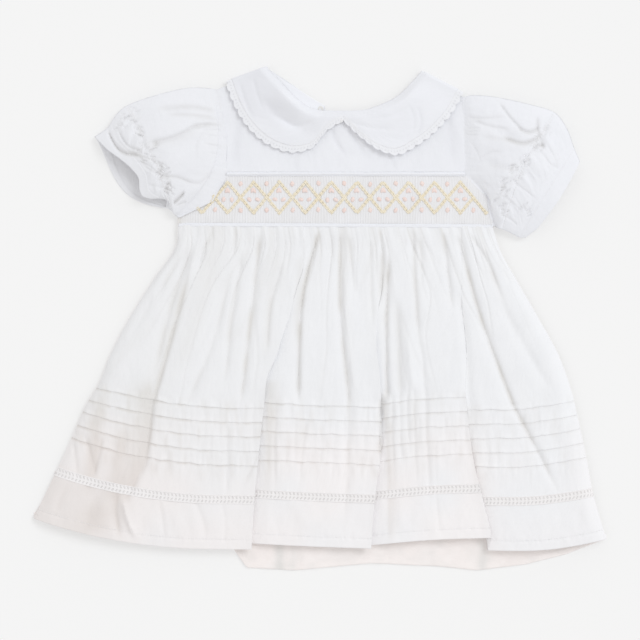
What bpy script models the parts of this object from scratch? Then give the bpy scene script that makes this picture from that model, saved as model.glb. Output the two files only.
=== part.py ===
"""Hand-smocked toddler dress lying flat on its back, front up, at its real size.

Frame: X to the viewer's right across the dress, Y from hem to shoulders, Z up from the
surface that the dress rests on.  All sizes below are millimetres; MM turns them to metres.
Left and right are the viewer's.
"""
import math

import bmesh
import bpy
import numpy as np

MM = 0.001
CENTRE_X = -0.55        # middle of the whole dress, which becomes the origin
CENTRE_Y = 0.585

# ---------------------------------------------------------------- driving sizes
CLOTH = 1.2             # wall of every cloth panel
SEAM_GAP = 0.3          # space left between two pieces that are sewn together
HALF_GAP = SEAM_GAP / 2
LACE_WIDTH = 5.0        # edging of the collar
INSERTION_WIDTH = 7.0   # openwork strip above the hem band
TURN_SHARE = 0.8        # place of the hem's stitch line between openwork and edge
BAND_MIDDLE = 0.45      # place of the row between them
BACK_LACE_SHARE = 0.10  # the back's openwork lies this much nearer to its hem
TUCK_RISE = 0.9         # how far a pintuck stands off the skirt
TUCK_WIDTH = 2.2
PIPING_RADIUS = 1.1
PIPING_SIDES = 6
PIPING_STEPS = 16

BACK_TOP = CLOTH                     # the back skirt lies on the surface
BACK_YOKE_LOW = CLOTH + SEAM_GAP     # the back yoke lies on the under half of the collar
BACK_YOKE_TOP = BACK_YOKE_LOW + CLOTH
FRONT_CLEAR = BACK_YOKE_TOP + SEAM_GAP
BODY_CROWN = 5.0        # how far the front of the bodice arches over the back
SHOULDER_FALL = 26.0    # length over which the yoke comes down to the shoulder seam
SHOULDER_LEFT = (-93.0, 206.0, 0.365)    # x, y and slope of the left shoulder seam
SHOULDER_RIGHT = (89.0, 219.5, -0.51)    # the same of the right one
LEAST_RISE = 0.4        # least space under a valley of the skirt
COLLAR_CLEAR = 0.9      # space under the collar where it lies on the yoke
COLLAR_CLOTH = 1.0

YOKE_BOTTOM = 131.5
YOKE_ROWS = (0.51, 0.42, 0.31, 0.20, 0.10, 0.0)    # places of its rows on the armhole
BACK_YOKE_ROWS = (0.60, 0.42, 0.20, 0.0)
PIPING_TOP_Y = 130.0
BAND_TOP = 128.5
BAND_LEFT = -127.9      # the band's ends at the armpits
BAND_RIGHT = 155.3
LEAST_COLUMN = 0.4      # a pleat's column nearer than this to a corner is left out
BAND_BOTTOM_LEFT = 85.4
BAND_BOTTOM_RIGHT = 84.1
PIPING_DROP = 1.5       # from a seam edge to the middle of its piping
PIPING_TOP_ENDS = (-84.3, 129.5)
PIPING_LOW_ENDS = (-127.0, 154.6)
BACK_LAP = 4.0          # how far the back yoke laps over the gathered back skirt
BEND_SHARE = 0.8        # where each armhole seam bends, and the back skirt's row there
BEND_Y = 108.0
PIT_Y = 90.0            # the back skirt's row at the armpits
PIT_RIGHT = (154.8, 91.0)
FLUTES = 36             # pleats of the smocked band
FLUTE_DEPTH = 0.7

# Armhole seam, from the shoulder (0) to the armpit (1).
ARMHOLE = (
    # along, left_x, left_y, right_x, right_y
    (0.00, -93.0, 206.0, 129.0, 199.0),
    (0.20, -88.0, 181.0, 129.7, 177.0),
    (0.42, -84.5, 154.0, 129.7, 153.0),
    (0.60, -85.3, 130.0, 130.5, 130.0),
    (0.80, -99.0, 105.5, 151.0, 110.0),
    (1.00, -128.5, 91.0, 156.5, 83.0),
)

# Upper edge of the front yoke: shoulder seam, neckline, shoulder seam.
YOKE_EDGE = (
    # x, y
    (-93.0, 206.0),   # left shoulder at the armhole
    (-83.0, 209.7),
    (-64.0, 216.5),
    (-46.0, 223.0),   # left end of the neckline
    (-41.0, 214.5),
    (-24.0, 198.0),
    (-8.0, 187.0),
    (6.0, 185.2),
    (20.0, 185.0),    # front centre, where the collar halves meet
    (34.0, 185.6),
    (48.0, 188.6),
    (60.0, 193.6),
    (72.0, 202.0),
    (82.0, 211.0),
    (89.0, 219.5),    # right end of the neckline
    (101.0, 213.0),
    (112.0, 207.5),
    (129.0, 199.0),   # right shoulder at the armhole
)

# Upper edges of the two back yokes, which part at the centre-back opening.
BACK_LEFT_EDGE = (
    # x, y
    (-93.0, 206.0),
    (-83.0, 209.7),
    (-64.0, 216.5),
    (-46.0, 223.5),
    (-33.0, 214.5),
    (-18.5, 205.5),
    (-7.0, 198.0),
    (4.0, 191.3),
)
BACK_RIGHT_EDGE = (
    # x, y
    (26.0, 173.5),
    (38.0, 177.5),
    (50.0, 183.0),
    (62.0, 190.0),
    (73.0, 198.0),
    (82.0, 207.0),
    (89.0, 219.5),
    (112.0, 207.5),
    (129.0, 199.0),
)
BACK_OPENING_LEFT = 6.0    # x of the two edges of the opening at the yoke seam
BACK_OPENING_RIGHT = 9.0

# Collar halves, from the front centre round the shoulder to the centre back.
# side: 1 on the yoke, 0 at the shoulder fold, -1 under the back yoke.
COLLAR_LEFT = (
    # neck_x, neck_y, edge_x, edge_y, side
    (17.4, 187.0, 17.4, 178.6, 1),
    (9.0, 187.0, 5.6, 169.0, 1),
    (-1.0, 187.4, -7.6, 154.0, 1),
    (-11.5, 191.0, -24.0, 150.0, 1),
    (-22.0, 199.0, -45.0, 156.0, 1),
    (-32.0, 209.0, -65.0, 173.0, 1),
    (-40.5, 218.0, -78.0, 195.0, 1),
    (-46.9, 224.6, -83.9, 211.3, 1),
    (-47.4, 226.7, -84.4, 213.3, 0),
    (-46.9, 224.6, -83.9, 211.3, -1),
    (-34.0, 216.5, -79.0, 185.0, -1),
    (-18.5, 206.0, -60.0, 155.0, -1),
    (-6.0, 198.0, -30.0, 140.0, -1),
    (3.5, 191.5, 2.0, 137.0, -1),
)
COLLAR_RIGHT = (
    # neck_x, neck_y, edge_x, edge_y, side
    (22.4, 187.0, 22.0, 177.6, 1),
    (31.0, 187.0, 38.0, 161.5, 1),
    (41.0, 188.0, 53.0, 151.5, 1),
    (51.0, 191.2, 68.0, 147.6, 1),
    (63.0, 196.4, 86.0, 156.0, 1),
    (73.0, 203.2, 104.0, 170.0, 1),
    (81.5, 212.0, 118.0, 186.0, 1),
    (89.6, 220.9, 126.8, 201.7, 1),
    (90.3, 222.7, 127.7, 203.5, 0),
    (89.6, 220.9, 126.8, 201.7, -1),
    (83.0, 209.0, 123.0, 178.0, -1),
    (70.0, 196.5, 104.0, 152.0, -1),
    (50.0, 184.0, 66.0, 137.0, -1),
    (27.0, 174.5, 24.0, 134.0, -1),
)
COLLAR_STEPS = 4        # rows of a collar half between neck and lace
COLLAR_ROLL = 2.6       # height of the roll at the neck seam
ROLL_REACH = 14.0       # how far the roll reaches from the neck seam
FULL_ROLL_WIDTH = 30.0  # width of collar at which the roll has its full height
LACE_MOST = 0.4         # most of a narrow collar's width that its lace takes
COLLAR_EDGE_MID = (BACK_YOKE_TOP + FRONT_CLEAR) / 2

# Levels of the skirt, waist to hem.  The middle of a level hangs to mid_y and its ends
# rise to left_y and right_y.
SKIRT_LEVELS = (
    # name, left_x, left_y, mid_y, right_x, right_y
    ("waist", -128.3, 82.3, 81.4, 155.0, 81.0),
    ("gathers", -129.0, 69.0, 68.0, 160.0, 65.5),
    ("upper", -149.5, 36.0, 33.0, 176.0, 35.0),
    ("middle", -172.0, 0.0, -5.0, 196.5, -1.0),
    ("lower", -189.5, -34.0, -43.0, 215.0, -36.0),
    ("tuck_1", -200.5, -60.5, -78.0, 227.5, -73.0),
    ("tuck_2", -207.5, -71.5, -90.8, 230.3, -85.6),
    ("tuck_3", -213.0, -82.5, -103.6, 233.0, -98.2),
    ("tuck_4", -218.0, -94.0, -116.4, 235.7, -110.8),
    ("tuck_5", -222.8, -105.5, -129.2, 238.4, -123.4),
    ("insertion", -237.5, -137.0, -161.5, 244.8, -156.8),
    ("hem", -257.9, -179.2, -205.8, 256.8, -198.6),
)
LEFT_RISE_SPAN = 0.30   # share of the width over which the left end of a level rises
RIGHT_RISE_SPAN = 0.16
HEM_FOLLOW = 0.55       # part of the skirt's length where the folds start to shift the hem
WAIST_EASE = 0.12       # part of its length over which it leaves the arch of the bodice
WAIST_DIP = 0.6         # how far its waist lies below the band
WAIST_FOLLOW = 0.6      # how much of the arch its gathers take up
TUCK_FOLD = 0.5         # how far the raised fold of a tuck is from its edge

# Folds of the front skirt, left to right.  across: place as a share of the width, rise:
# height of the cloth's underside over the back skirt, drift: how far the hem is pulled
# up (+) or let down (-) there.
SKIRT_FOLDS = (
    # across_waist, across_mid, across_hem, rise_waist, rise_mid, rise_hem, drift
    (0.000, 0.000, 0.000, 2.2, 0.5, 0.5, 0.0),
    (0.038, 0.058, 0.165, 6.0, 8.0, 8.0, 0.0),    # left ridge
    (0.095, 0.130, 0.200, 3.0, 1.8, 5.5, 0.0),    # left valley
    (0.140, 0.168, 0.240, 7.0, 9.0, 7.0, 0.0),
    (0.194, 0.204, 0.290, 3.2, 4.2, 4.8, 0.0),    # second valley
    (0.222, 0.255, 0.322, 6.6, 7.5, 6.2, 0.0),
    (0.250, 0.315, 0.345, 3.8, 4.6, 5.6, -1.0),   # third valley
    (0.403, 0.347, 0.377, 7.2, 9.0, 8.0, -1.0),   # edge of the left panel, on top
    (0.432, 0.366, 0.388, 3.0, 1.4, 1.2, 4.5),    # foot of that step
    (0.460, 0.405, 0.450, 6.8, 7.0, 7.0, 3.5),
    (0.484, 0.428, 0.492, 4.6, 4.2, 5.2, 2.5),
    (0.500, 0.480, 0.525, 7.0, 8.0, 7.2, 1.5),
    (0.518, 0.534, 0.548, 3.4, 3.8, 5.0, 1.0),    # middle valley
    (0.578, 0.572, 0.586, 7.4, 8.6, 8.4, 0.5),
    (0.640, 0.600, 0.607, 7.0, 9.4, 9.2, 0.0),    # edge of the middle panel, on top
    (0.656, 0.616, 0.632, 2.4, 0.9, 1.0, 2.0),    # deepest fold of the skirt
    (0.698, 0.662, 0.682, 6.4, 5.6, 5.6, 5.0),
    (0.756, 0.688, 0.706, 4.0, 4.4, 5.0, 7.0),
    (0.800, 0.735, 0.748, 7.0, 8.0, 7.4, 9.0),
    (0.834, 0.777, 0.794, 6.0, 7.0, 8.8, 9.5),    # edge of the third panel, on top
    (0.848, 0.790, 0.807, 4.0, 4.8, 1.6, -2.0),
    (0.878, 0.826, 0.855, 6.4, 7.6, 6.4, -2.5),
    (0.914, 0.866, 0.930, 3.2, 2.6, 4.4, -2.0),   # slanting valley
    (0.952, 0.920, 0.962, 5.6, 6.4, 4.0, 0.0),
    (1.000, 1.000, 1.000, 2.0, 0.5, 0.5, 1.0),
)
ROUND_GAP = 0.045       # two folds further apart than this get a column between them
HIGHEST_SLOPE = 1.7     # limit of the thickening of the wall on a steep side

# Hem of the back skirt, which shows below the front hem.
BACK_HEM = (
    # across, y
    (0.000, -177.0),
    (0.120, -194.0),
    (0.240, -201.0),
    (0.345, -204.0),
    (0.372, -223.5),
    (0.455, -226.0),
    (0.590, -219.5),
    (0.710, -222.5),
    (0.775, -226.0),
    (0.860, -220.5),
    (0.930, -211.5),
    (1.000, -197.6),
)

# Sleeve sections from the armhole seam to the cuff edge.  A section runs from a point on
# the upper outline to one on the lower outline; bow_front and bow_back push its middle
# towards the cuff, rise is the height of its crown, gather the depth of its small pleats,
# and sag pushes the lower part of its front on towards the cuff.
SAG_SKEW = 2.8          # puts the most of the sag low on the section
SLEEVE_LEFT = (
    # name, top_x, top_y, low_x, low_y, bow_front, bow_back, rise, edge, gather, sag
    ("easing", -101.0, 207.2, -129.5, 92.0, -22.0, -18.0, 11.5, 4.6, 1.3, 0.0),
    ("puff", -121.0, 207.0, -131.0, 93.4, -11.0, -4.0, 25.0, 7.0, 1.0, 0.0),
    ("swell", -150.0, 200.0, -132.4, 95.0, -7.0, 8.0, 28.0, 8.0, 0.6, 0.0),
    ("shirring", -173.5, 191.5, -133.4, 96.4, -12.0, 13.0, 20.0, 7.0, 1.1, 0.0),
    ("flare", -184.0, 182.5, -134.0, 97.4, -11.0, 16.0, 22.5, 7.0, 0.6, 3.0),
    ("cuff_seam", -191.3, 171.7, -134.6, 98.2, -9.0, 18.0, 19.0, 6.5, 0.0, 6.0),
    ("cuff_edge", -203.0, 163.6, -137.4, 99.2, 1.0, 19.0, 20.0, 6.5, 0.0, 12.0),
)
SLEEVE_RIGHT = (
    # name, top_x, top_y, low_x, low_y, bow_front, bow_back, rise, edge, gather, sag
    ("easing", 137.5, 201.0, 158.0, 82.0, -2.0, -2.0, 11.5, 4.6, 1.3, 0.0),
    ("puff", 160.0, 198.6, 159.2, 81.5, 2.0, 0.0, 24.0, 7.0, 1.0, 0.0),
    ("swell", 190.0, 191.8, 161.0, 80.8, 1.0, -2.0, 26.0, 8.0, 0.6, 0.0),
    ("shirring", 210.5, 185.0, 163.5, 80.2, -7.0, -8.0, 17.5, 7.0, 1.1, 0.0),
    ("flare", 221.5, 170.5, 170.5, 77.2, -2.0, -5.0, 20.0, 7.0, 0.6, 0.0),
    ("cuff_seam", 227.3, 155.0, 178.0, 73.4, -1.0, -5.0, 15.0, 5.5, 0.0, 0.0),
    ("cuff_edge", 233.1, 141.1, 186.0, 71.0, 3.0, -2.0, 14.0, 5.0, 0.0, 0.0),
)
# Two long hollows in each puff, from the armhole to the shirring.
SLEEVE_HOLLOWS = (
    # side, at_seam, at_cuff, depth, half_width
    (-1, 0.27, 0.40, 6.0, 0.075),
    (-1, 0.17, 0.20, 3.5, 0.060),
    (1, 0.30, 0.46, 6.0, 0.075),
    (1, 0.17, 0.30, 4.0, 0.060),
)
RING = (0.0, 0.05, 0.10, 0.15, 0.20, 0.255, 0.31, 0.365, 0.42, 0.465, 0.51,
        0.555, 0.60, 0.65, 0.70, 0.75, 0.80, 0.85, 0.90, 0.95, 1.0)
UNDER_RING = (0.94, 0.80, 0.70, 0.60, 0.42, 0.30, 0.20, 0.07)
CROWN_POWER = 0.75      # below 1 makes a fuller sleeve section
FLOOR_POWER = 0.35      # how soon the under half reaches the surface
SEAM_STEP = 0.45        # the sleeve starts this far from the armhole edge
SEAM_THIN = 0.1         # how much thinner its wall is at that seam
TIP_IN = (2.6, 0.3)     # how far the wall's inner face stops short at a section's ends
CUFF_START = 0.09       # share of the last section that is left as the cuff's seam
CUFF_MIDDLE = 0.55
HOLLOW_START = 0.12     # how far along a hollow has begun at the armhole
FLAT_ENDS = 0.02        # share of a section without small pleats at each end

BINDING_WIDTH = 6.5     # bias strip inside the back neck
BINDING_PLACES = (0.16, 0.34, 0.50, 0.64, 0.78)    # along the left back neck edge
BINDING_CLOTH = 0.9
BUTTON_RADIUS = 2.6
BUTTON_HEIGHT = 1.6
BUTTON_SIDES = 16
BUTTON_AT = (0.2, 188.6)
BUTTON_ROUND = 0.4      # height of the rounded rim, above and below
BUTTON_RIM = 0.8        # share of the radius that the flat faces have

COTTON = (0.86, 0.88, 0.90, 1.0)
LACE_COTTON = (0.88, 0.88, 0.87, 1.0)
PEARL = (0.55, 0.53, 0.50, 1.0)


# ---------------------------------------------------------------- helpers
def smooth(value):
    """Eases from 0 to 1."""
    value = min(1.0, max(0.0, value))
    return value * value * (3.0 - 2.0 * value)


def between(first, second, share):
    return first + (second - first) * share


def along_table(rows, share, column):
    """Straight-line value of one column of a table whose first column is the place."""
    places = [row[0] for row in rows]
    return float(np.interp(share, places, [row[column] for row in rows]))


def through_three(start, middle, end, share):
    """Value on the parabola through three values at 0, 0.5 and 1."""
    near = start * (1.0 - share) * (1.0 - 2.0 * share)
    mid = middle * 4.0 * share * (1.0 - share)
    far = end * share * (2.0 * share - 1.0)
    return near + mid + far


def material(name, colour, roughness):
    made = bpy.data.materials.new(name)
    made.use_nodes = True
    shader = made.node_tree.nodes["Principled BSDF"]
    shader.inputs["Base Color"].default_value = colour
    shader.inputs["Roughness"].default_value = roughness
    shader.inputs["Metallic"].default_value = 0.0
    return made


def add_solid(name, points, faces, look):
    """Makes one closed object with its faces turned outward."""
    mesh = bpy.data.meshes.new(name)
    centred = [((x - CENTRE_X) * MM, (y - CENTRE_Y) * MM, z * MM) for x, y, z in points]
    mesh.from_pydata(centred, [], faces)
    work = bmesh.new()
    work.from_mesh(mesh)
    bmesh.ops.triangulate(work, faces=work.faces[:])
    bmesh.ops.recalc_face_normals(work, faces=work.faces[:])
    work.to_mesh(mesh)
    work.free()
    for polygon in mesh.polygons:
        polygon.use_smooth = True
    mesh.materials.append(look)
    made = bpy.data.objects.new(name, mesh)
    bpy.context.scene.collection.objects.link(made)
    return made


def sheet(name, upper, lower, look):
    """Closed wall between two grids of points with the same rows and columns."""
    rows = len(upper)
    columns = len(upper[0])
    count = rows * columns
    points = [point for row in upper for point in row]
    points += [point for row in lower for point in row]
    faces = []
    for i in range(rows - 1):
        for j in range(columns - 1):
            a = i * columns + j
            b = a + 1
            c = a + columns + 1
            d = a + columns
            faces.append((a, b, c, d))
            faces.append((a + count, d + count, c + count, b + count))
    rim = [j for j in range(columns)]
    rim += [i * columns + columns - 1 for i in range(1, rows)]
    rim += [(rows - 1) * columns + j for j in range(columns - 2, -1, -1)]
    rim += [i * columns for i in range(rows - 2, 0, -1)]
    for here, there in zip(rim, rim[1:] + rim[:1]):
        faces.append((here, here + count, there + count, there))
    return add_solid(name, points, faces, look)


def tube(name, outer, inner, look):
    """Closed wall between two rings-of-points grids, open at both ends of the tube."""
    stations = len(outer)
    around = len(outer[0])
    count = stations * around
    points = [point for ring in outer for point in ring]
    points += [point for ring in inner for point in ring]
    faces = []
    for i in range(stations - 1):
        for j in range(around):
            k = (j + 1) % around
            a = i * around + j
            b = i * around + k
            faces.append((a, b, b + around, a + around))
            faces.append((a + count, a + around + count, b + around + count, b + count))
    last = (stations - 1) * around
    for j in range(around):
        k = (j + 1) % around
        faces.append((j, j + count, k + count, k))
        faces.append((last + j, last + k, last + k + count, last + j + count))
    return add_solid(name, points, faces, look)


def wall_on(lower, cloth):
    """Upper grid of a wall that stands on a lower grid, thicker upright on steep sides."""
    grid = np.array(lower, float)
    across = np.gradient(grid, axis=1)
    along = np.gradient(grid, axis=0)
    normal = np.cross(along, across)
    size = np.linalg.norm(normal, axis=2)
    upright = np.abs(normal[:, :, 2]) / np.maximum(size, 1e-9)
    lift = cloth * np.minimum(HIGHEST_SLOPE, 1.0 / np.maximum(upright, 1e-3))
    grid[:, :, 2] += lift
    return [[tuple(point) for point in row] for row in grid]


def lifted(grid, height):
    return [[(x, y, z + height) for x, y, z in row] for row in grid]


# ---------------------------------------------------------------- bodice
def armhole(side, share):
    """Point of the armhole seam; side is -1 for left and 1 for right."""
    first = 1 if side < 0 else 3
    return along_table(ARMHOLE, share, first), along_table(ARMHOLE, share, first + 1)


def armhole_at_height(side, y):
    """x of the armhole seam at a height y, and how far along the seam it is."""
    column = 2 if side < 0 else 4
    heights = [row[column] for row in ARMHOLE][::-1]
    shares = [row[0] for row in ARMHOLE][::-1]
    share = float(np.interp(y, heights, shares))
    return armhole(side, share)[0], share


def body_rise(x, y):
    """Height of the underside of the bodice front over a place."""
    left = armhole_at_height(-1, y)[0]
    right = armhole_at_height(1, y)[0]
    across = 2.0 * (x - left) / (right - left) - 1.0
    dome = max(0.0, 1.0 - abs(across) ** 3)
    shoulders = [seam_y + slope * (x - seam_x)
                 for seam_x, seam_y, slope in (SHOULDER_LEFT, SHOULDER_RIGHT)]
    fall = smooth((min(shoulders) - y) / SHOULDER_FALL)
    return FRONT_CLEAR + BODY_CROWN * dome * fall


def yoke_front(look):
    left_x = YOKE_EDGE[0][0]
    width = YOKE_EDGE[-1][0] - left_x
    shares = (armhole_at_height(-1, YOKE_BOTTOM)[1],) + YOKE_ROWS
    lower = []
    for share in shares:
        left = armhole(-1, share)
        right = armhole(1, share)
        up_left = (left[1] - YOKE_BOTTOM) / (YOKE_EDGE[0][1] - YOKE_BOTTOM)
        up_right = (right[1] - YOKE_BOTTOM) / (YOKE_EDGE[-1][1] - YOKE_BOTTOM)
        row = []
        for edge_x, edge_y in YOKE_EDGE:
            across = (edge_x - left_x) / width
            up = between(up_left, up_right, across)
            x = between(left[0], right[0], across)
            y = between(YOKE_BOTTOM, edge_y, up)
            row.append((x, y, body_rise(x, y)))
        lower.append(row)
    sheet("yoke_front", wall_on(lower, CLOTH), lower, look)


def back_yoke(name, edge, side, opening_x, look):
    bottom = YOKE_BOTTOM - BACK_LAP
    shares = (armhole_at_height(side, bottom)[1],) + BACK_YOKE_ROWS
    armhole_end = edge[0] if side < 0 else edge[-1]
    start_x = edge[0][0]
    width = edge[-1][0] - start_x
    lower = []
    for share in shares:
        seam = armhole(side, share)
        up = (seam[1] - bottom) / (armhole_end[1] - bottom)
        row = []
        for edge_x, edge_y in edge:
            across = (edge_x - start_x) / width
            if side < 0:
                free_x = between(opening_x, edge[-1][0], up)
                x = between(seam[0], free_x, across)
            else:
                free_x = between(opening_x, edge[0][0], up)
                x = between(free_x, seam[0], across)
            y = between(bottom, edge_y, up)
            row.append((x, y, BACK_YOKE_LOW))
        lower.append(row)
    sheet(name, lifted(lower, CLOTH), lower, look)


def band_top(x):
    """Upper edge of the smocked band: its piping, and the armhole seams at its ends."""
    heights = [row[2] for row in ARMHOLE if row[0] > 0.5]
    left = [row[1] for row in ARMHOLE if row[0] > 0.5]
    right = [row[3] for row in ARMHOLE if row[0] > 0.5]
    right_heights = [row[4] for row in ARMHOLE if row[0] > 0.5]
    if x < 0.0:
        return min(BAND_TOP, float(np.interp(x, left[::-1], heights[::-1])))
    return min(BAND_TOP, float(np.interp(x, right, right_heights)))


def band_columns():
    """x of each column of the band: the pleats, and the corners of its upper edge."""
    corners = [BAND_LEFT, ARMHOLE[-2][1], armhole_at_height(-1, BAND_TOP)[0],
               armhole_at_height(1, BAND_TOP)[0], ARMHOLE[-2][3], BAND_RIGHT]
    columns = list(corners)
    pitch = (corners[-1] - corners[0]) / (2 * FLUTES)
    for j in range(2 * FLUTES + 1):
        x = corners[0] + pitch * j
        if min(abs(x - corner) for corner in corners) > LEAST_COLUMN * pitch:
            columns.append(x)
    return sorted(columns), pitch


def smocked_band(look):
    columns, pitch = band_columns()
    lower = []
    for up in (0.0, 0.5, 1.0):
        row = []
        for x in columns:
            across = (x - columns[0]) / (columns[-1] - columns[0])
            bottom = between(BAND_BOTTOM_LEFT, BAND_BOTTOM_RIGHT, across)
            y = between(bottom, band_top(x), up)
            place = (x - columns[0]) / (2.0 * pitch)
            pleat = FLUTE_DEPTH * (1.0 - abs(2.0 * (place % 1.0) - 1.0))
            row.append((x, y, body_rise(x, y) + pleat))
        lower.append(row)
    sheet("smocked_band", lifted(lower, CLOTH), lower, look)


def piping(name, left, right, look):
    rings = []
    steps = PIPING_STEPS
    for i in range(steps + 1):
        share = i / steps
        x = between(left[0], right[0], share)
        y = between(left[1], right[1], share)
        z = body_rise(x, y) + PIPING_RADIUS
        ring = []
        for k in range(PIPING_SIDES):
            turn = 2.0 * math.pi * (k + 0.5) / PIPING_SIDES
            ring.append((x, y + PIPING_RADIUS * math.cos(turn),
                         z + PIPING_RADIUS * math.sin(turn)))
        rings.append(ring)
    points = [point for ring in rings for point in ring]
    faces = []
    for i in range(steps):
        for k in range(PIPING_SIDES):
            a = i * PIPING_SIDES + k
            b = i * PIPING_SIDES + (k + 1) % PIPING_SIDES
            faces.append((a, b, b + PIPING_SIDES, a + PIPING_SIDES))
    faces.append(tuple(range(PIPING_SIDES)))
    faces.append(tuple(steps * PIPING_SIDES + k for k in range(PIPING_SIDES)))
    add_solid(name, points, faces, look)


def rounded_rows(table):
    """The sections of a table with one more between each two, on a smooth curve."""
    rows = []
    for i in range(len(table) - 1):
        here, there = table[i], table[i + 1]
        rows.append(here)
        if here[4] == there[4]:
            before = table[i - 1] if i and table[i - 1][4] == here[4] else here
            last = i + 2 >= len(table) or table[i + 2][4] != there[4]
            after = there if last else table[i + 2]
            middle = [(9.0 * (b + c) - a - d) / 16.0
                      for a, b, c, d in zip(before, here, there, after)]
            rows.append(tuple(middle[:4]) + (here[4],))
    rows.append(table[-1])
    return rows


def collar_row(entry, distance):
    """Middle point of the collar at a distance from its neck edge, and its outward side."""
    neck_x, neck_y, edge_x, edge_y, side = entry
    length = math.hypot(edge_x - neck_x, edge_y - neck_y)
    share = distance / length
    x = between(neck_x, edge_x, share)
    y = between(neck_y, edge_y, share)
    under = COLLAR_CLOTH / 2
    over = body_rise(x, y) + CLOTH + COLLAR_CLEAR + COLLAR_CLOTH / 2
    if side > 0:
        roll = COLLAR_ROLL * (1.0 - smooth(distance / ROLL_REACH))
        roll *= smooth(length / FULL_ROLL_WIDTH)
        return (x, y, over + roll), (0.0, 0.0, 1.0)
    if side < 0:
        return (x, y, under), (0.0, 0.0, -1.0)
    turn = math.atan2(neck_y - edge_y, neck_x - edge_x) + math.pi / 2
    if math.sin(turn) < 0:
        turn += math.pi
    return (x, y, COLLAR_EDGE_MID), (math.cos(turn), math.sin(turn), 0.0)


def lace_share(entry):
    """Width of the lace edging on one section of the collar."""
    length = math.hypot(entry[2] - entry[0], entry[3] - entry[1])
    return length, min(LACE_WIDTH, LACE_MOST * length)


def collar_walls(table, first, last, steps):
    """Outer and inner grids of a collar strip; first and last place it on each section."""
    outer = []
    inner = []
    for entry in table:
        start = first(entry)
        end = last(entry)
        outer_row = []
        inner_row = []
        for k in range(steps + 1):
            middle, side = collar_row(entry, between(start, end, k / steps))
            half = COLLAR_CLOTH / 2
            outer_row.append(tuple(m + half * s for m, s in zip(middle, side)))
            inner_row.append(tuple(m - half * s for m, s in zip(middle, side)))
        outer.append(outer_row)
        inner.append(inner_row)
    return outer, inner


def collar_half(name, lace_name, table, look, lace_look):
    def cloth_end(entry):
        length, lace = lace_share(entry)
        return length - lace - HALF_GAP

    def lace_start(entry):
        length, lace = lace_share(entry)
        return length - lace + HALF_GAP

    def lace_end(entry):
        return lace_share(entry)[0]

    table = rounded_rows(table)
    outer, inner = collar_walls(table, lambda entry: 0.0, cloth_end, COLLAR_STEPS)
    sheet(name, outer, inner, look)
    outer, inner = collar_walls(table, lace_start, lace_end, 1)
    sheet(lace_name, outer, inner, lace_look)


def neck_binding(look):
    """Bias strip on the inside of the left back neck, where it shows through the neck."""
    edge = BACK_LEFT_EDGE[3:]
    rows = [[], []]
    for share in BINDING_PLACES:
        place = share * (len(edge) - 1)
        i = int(place)
        x = between(edge[i][0], edge[i + 1][0], place - i)
        y = between(edge[i][1], edge[i + 1][1], place - i)
        run_x = edge[i + 1][0] - edge[i][0]
        run_y = edge[i + 1][1] - edge[i][1]
        run = math.hypot(run_x, run_y)
        inward = (run_y / run, -run_x / run)
        for row, depth in zip(rows, (SEAM_GAP, BINDING_WIDTH)):
            row.append((x + inward[0] * depth, y + inward[1] * depth,
                        BACK_YOKE_TOP + SEAM_GAP))
    sheet("neck_binding", lifted(rows, BINDING_CLOTH), rows, look)


def back_button(look):
    low = BACK_YOKE_TOP + SEAM_GAP
    points = []
    for z, radius in ((low, BUTTON_RIM), (low + BUTTON_ROUND, 1.0),
                      (low + BUTTON_HEIGHT - BUTTON_ROUND, 1.0),
                      (low + BUTTON_HEIGHT, BUTTON_RIM)):
        for k in range(BUTTON_SIDES):
            turn = 2.0 * math.pi * k / BUTTON_SIDES
            points.append((BUTTON_AT[0] + BUTTON_RADIUS * radius * math.cos(turn),
                           BUTTON_AT[1] + BUTTON_RADIUS * radius * math.sin(turn), z))
    faces = []
    for level in range(3):
        for k in range(BUTTON_SIDES):
            a = level * BUTTON_SIDES + k
            b = level * BUTTON_SIDES + (k + 1) % BUTTON_SIDES
            faces.append((a, b, b + BUTTON_SIDES, a + BUTTON_SIDES))
    faces.append(tuple(range(BUTTON_SIDES)))
    faces.append(tuple(3 * BUTTON_SIDES + k for k in range(BUTTON_SIDES)))
    add_solid("back_button", points, faces, look)


# ---------------------------------------------------------------- skirt
def level(name):
    for entry in SKIRT_LEVELS:
        if entry[0] == name:
            return entry[1:]
    raise KeyError(name)


def blend_levels(first, second, share):
    return tuple(between(a, b, share) for a, b in zip(level(first), level(second)))


def down_skirt(mid_y):
    """How far down the skirt a level is, 0 at the waist and 1 at the hem."""
    top = level("waist")[2]
    return (top - mid_y) / (top - level("hem")[2])


def level_y(entry, across):
    _, left_y, mid_y, _, right_y = entry
    from_left = (1.0 - min(1.0, across / LEFT_RISE_SPAN)) ** 2
    from_right = (1.0 - min(1.0, (1.0 - across) / RIGHT_RISE_SPAN)) ** 2
    return mid_y + (left_y - mid_y) * from_left + (right_y - mid_y) * from_right


def fold_columns():
    """Columns of the skirt: each fold, and a place between two that are far apart."""
    columns = []
    for i in range(len(SKIRT_FOLDS) - 1):
        here = SKIRT_FOLDS[i]
        there = SKIRT_FOLDS[i + 1]
        columns.append((i, 0.0))
        if there[1] - here[1] > ROUND_GAP:
            columns.append((i, 0.5))
    columns.append((len(SKIRT_FOLDS) - 2, 1.0))
    return columns


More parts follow.
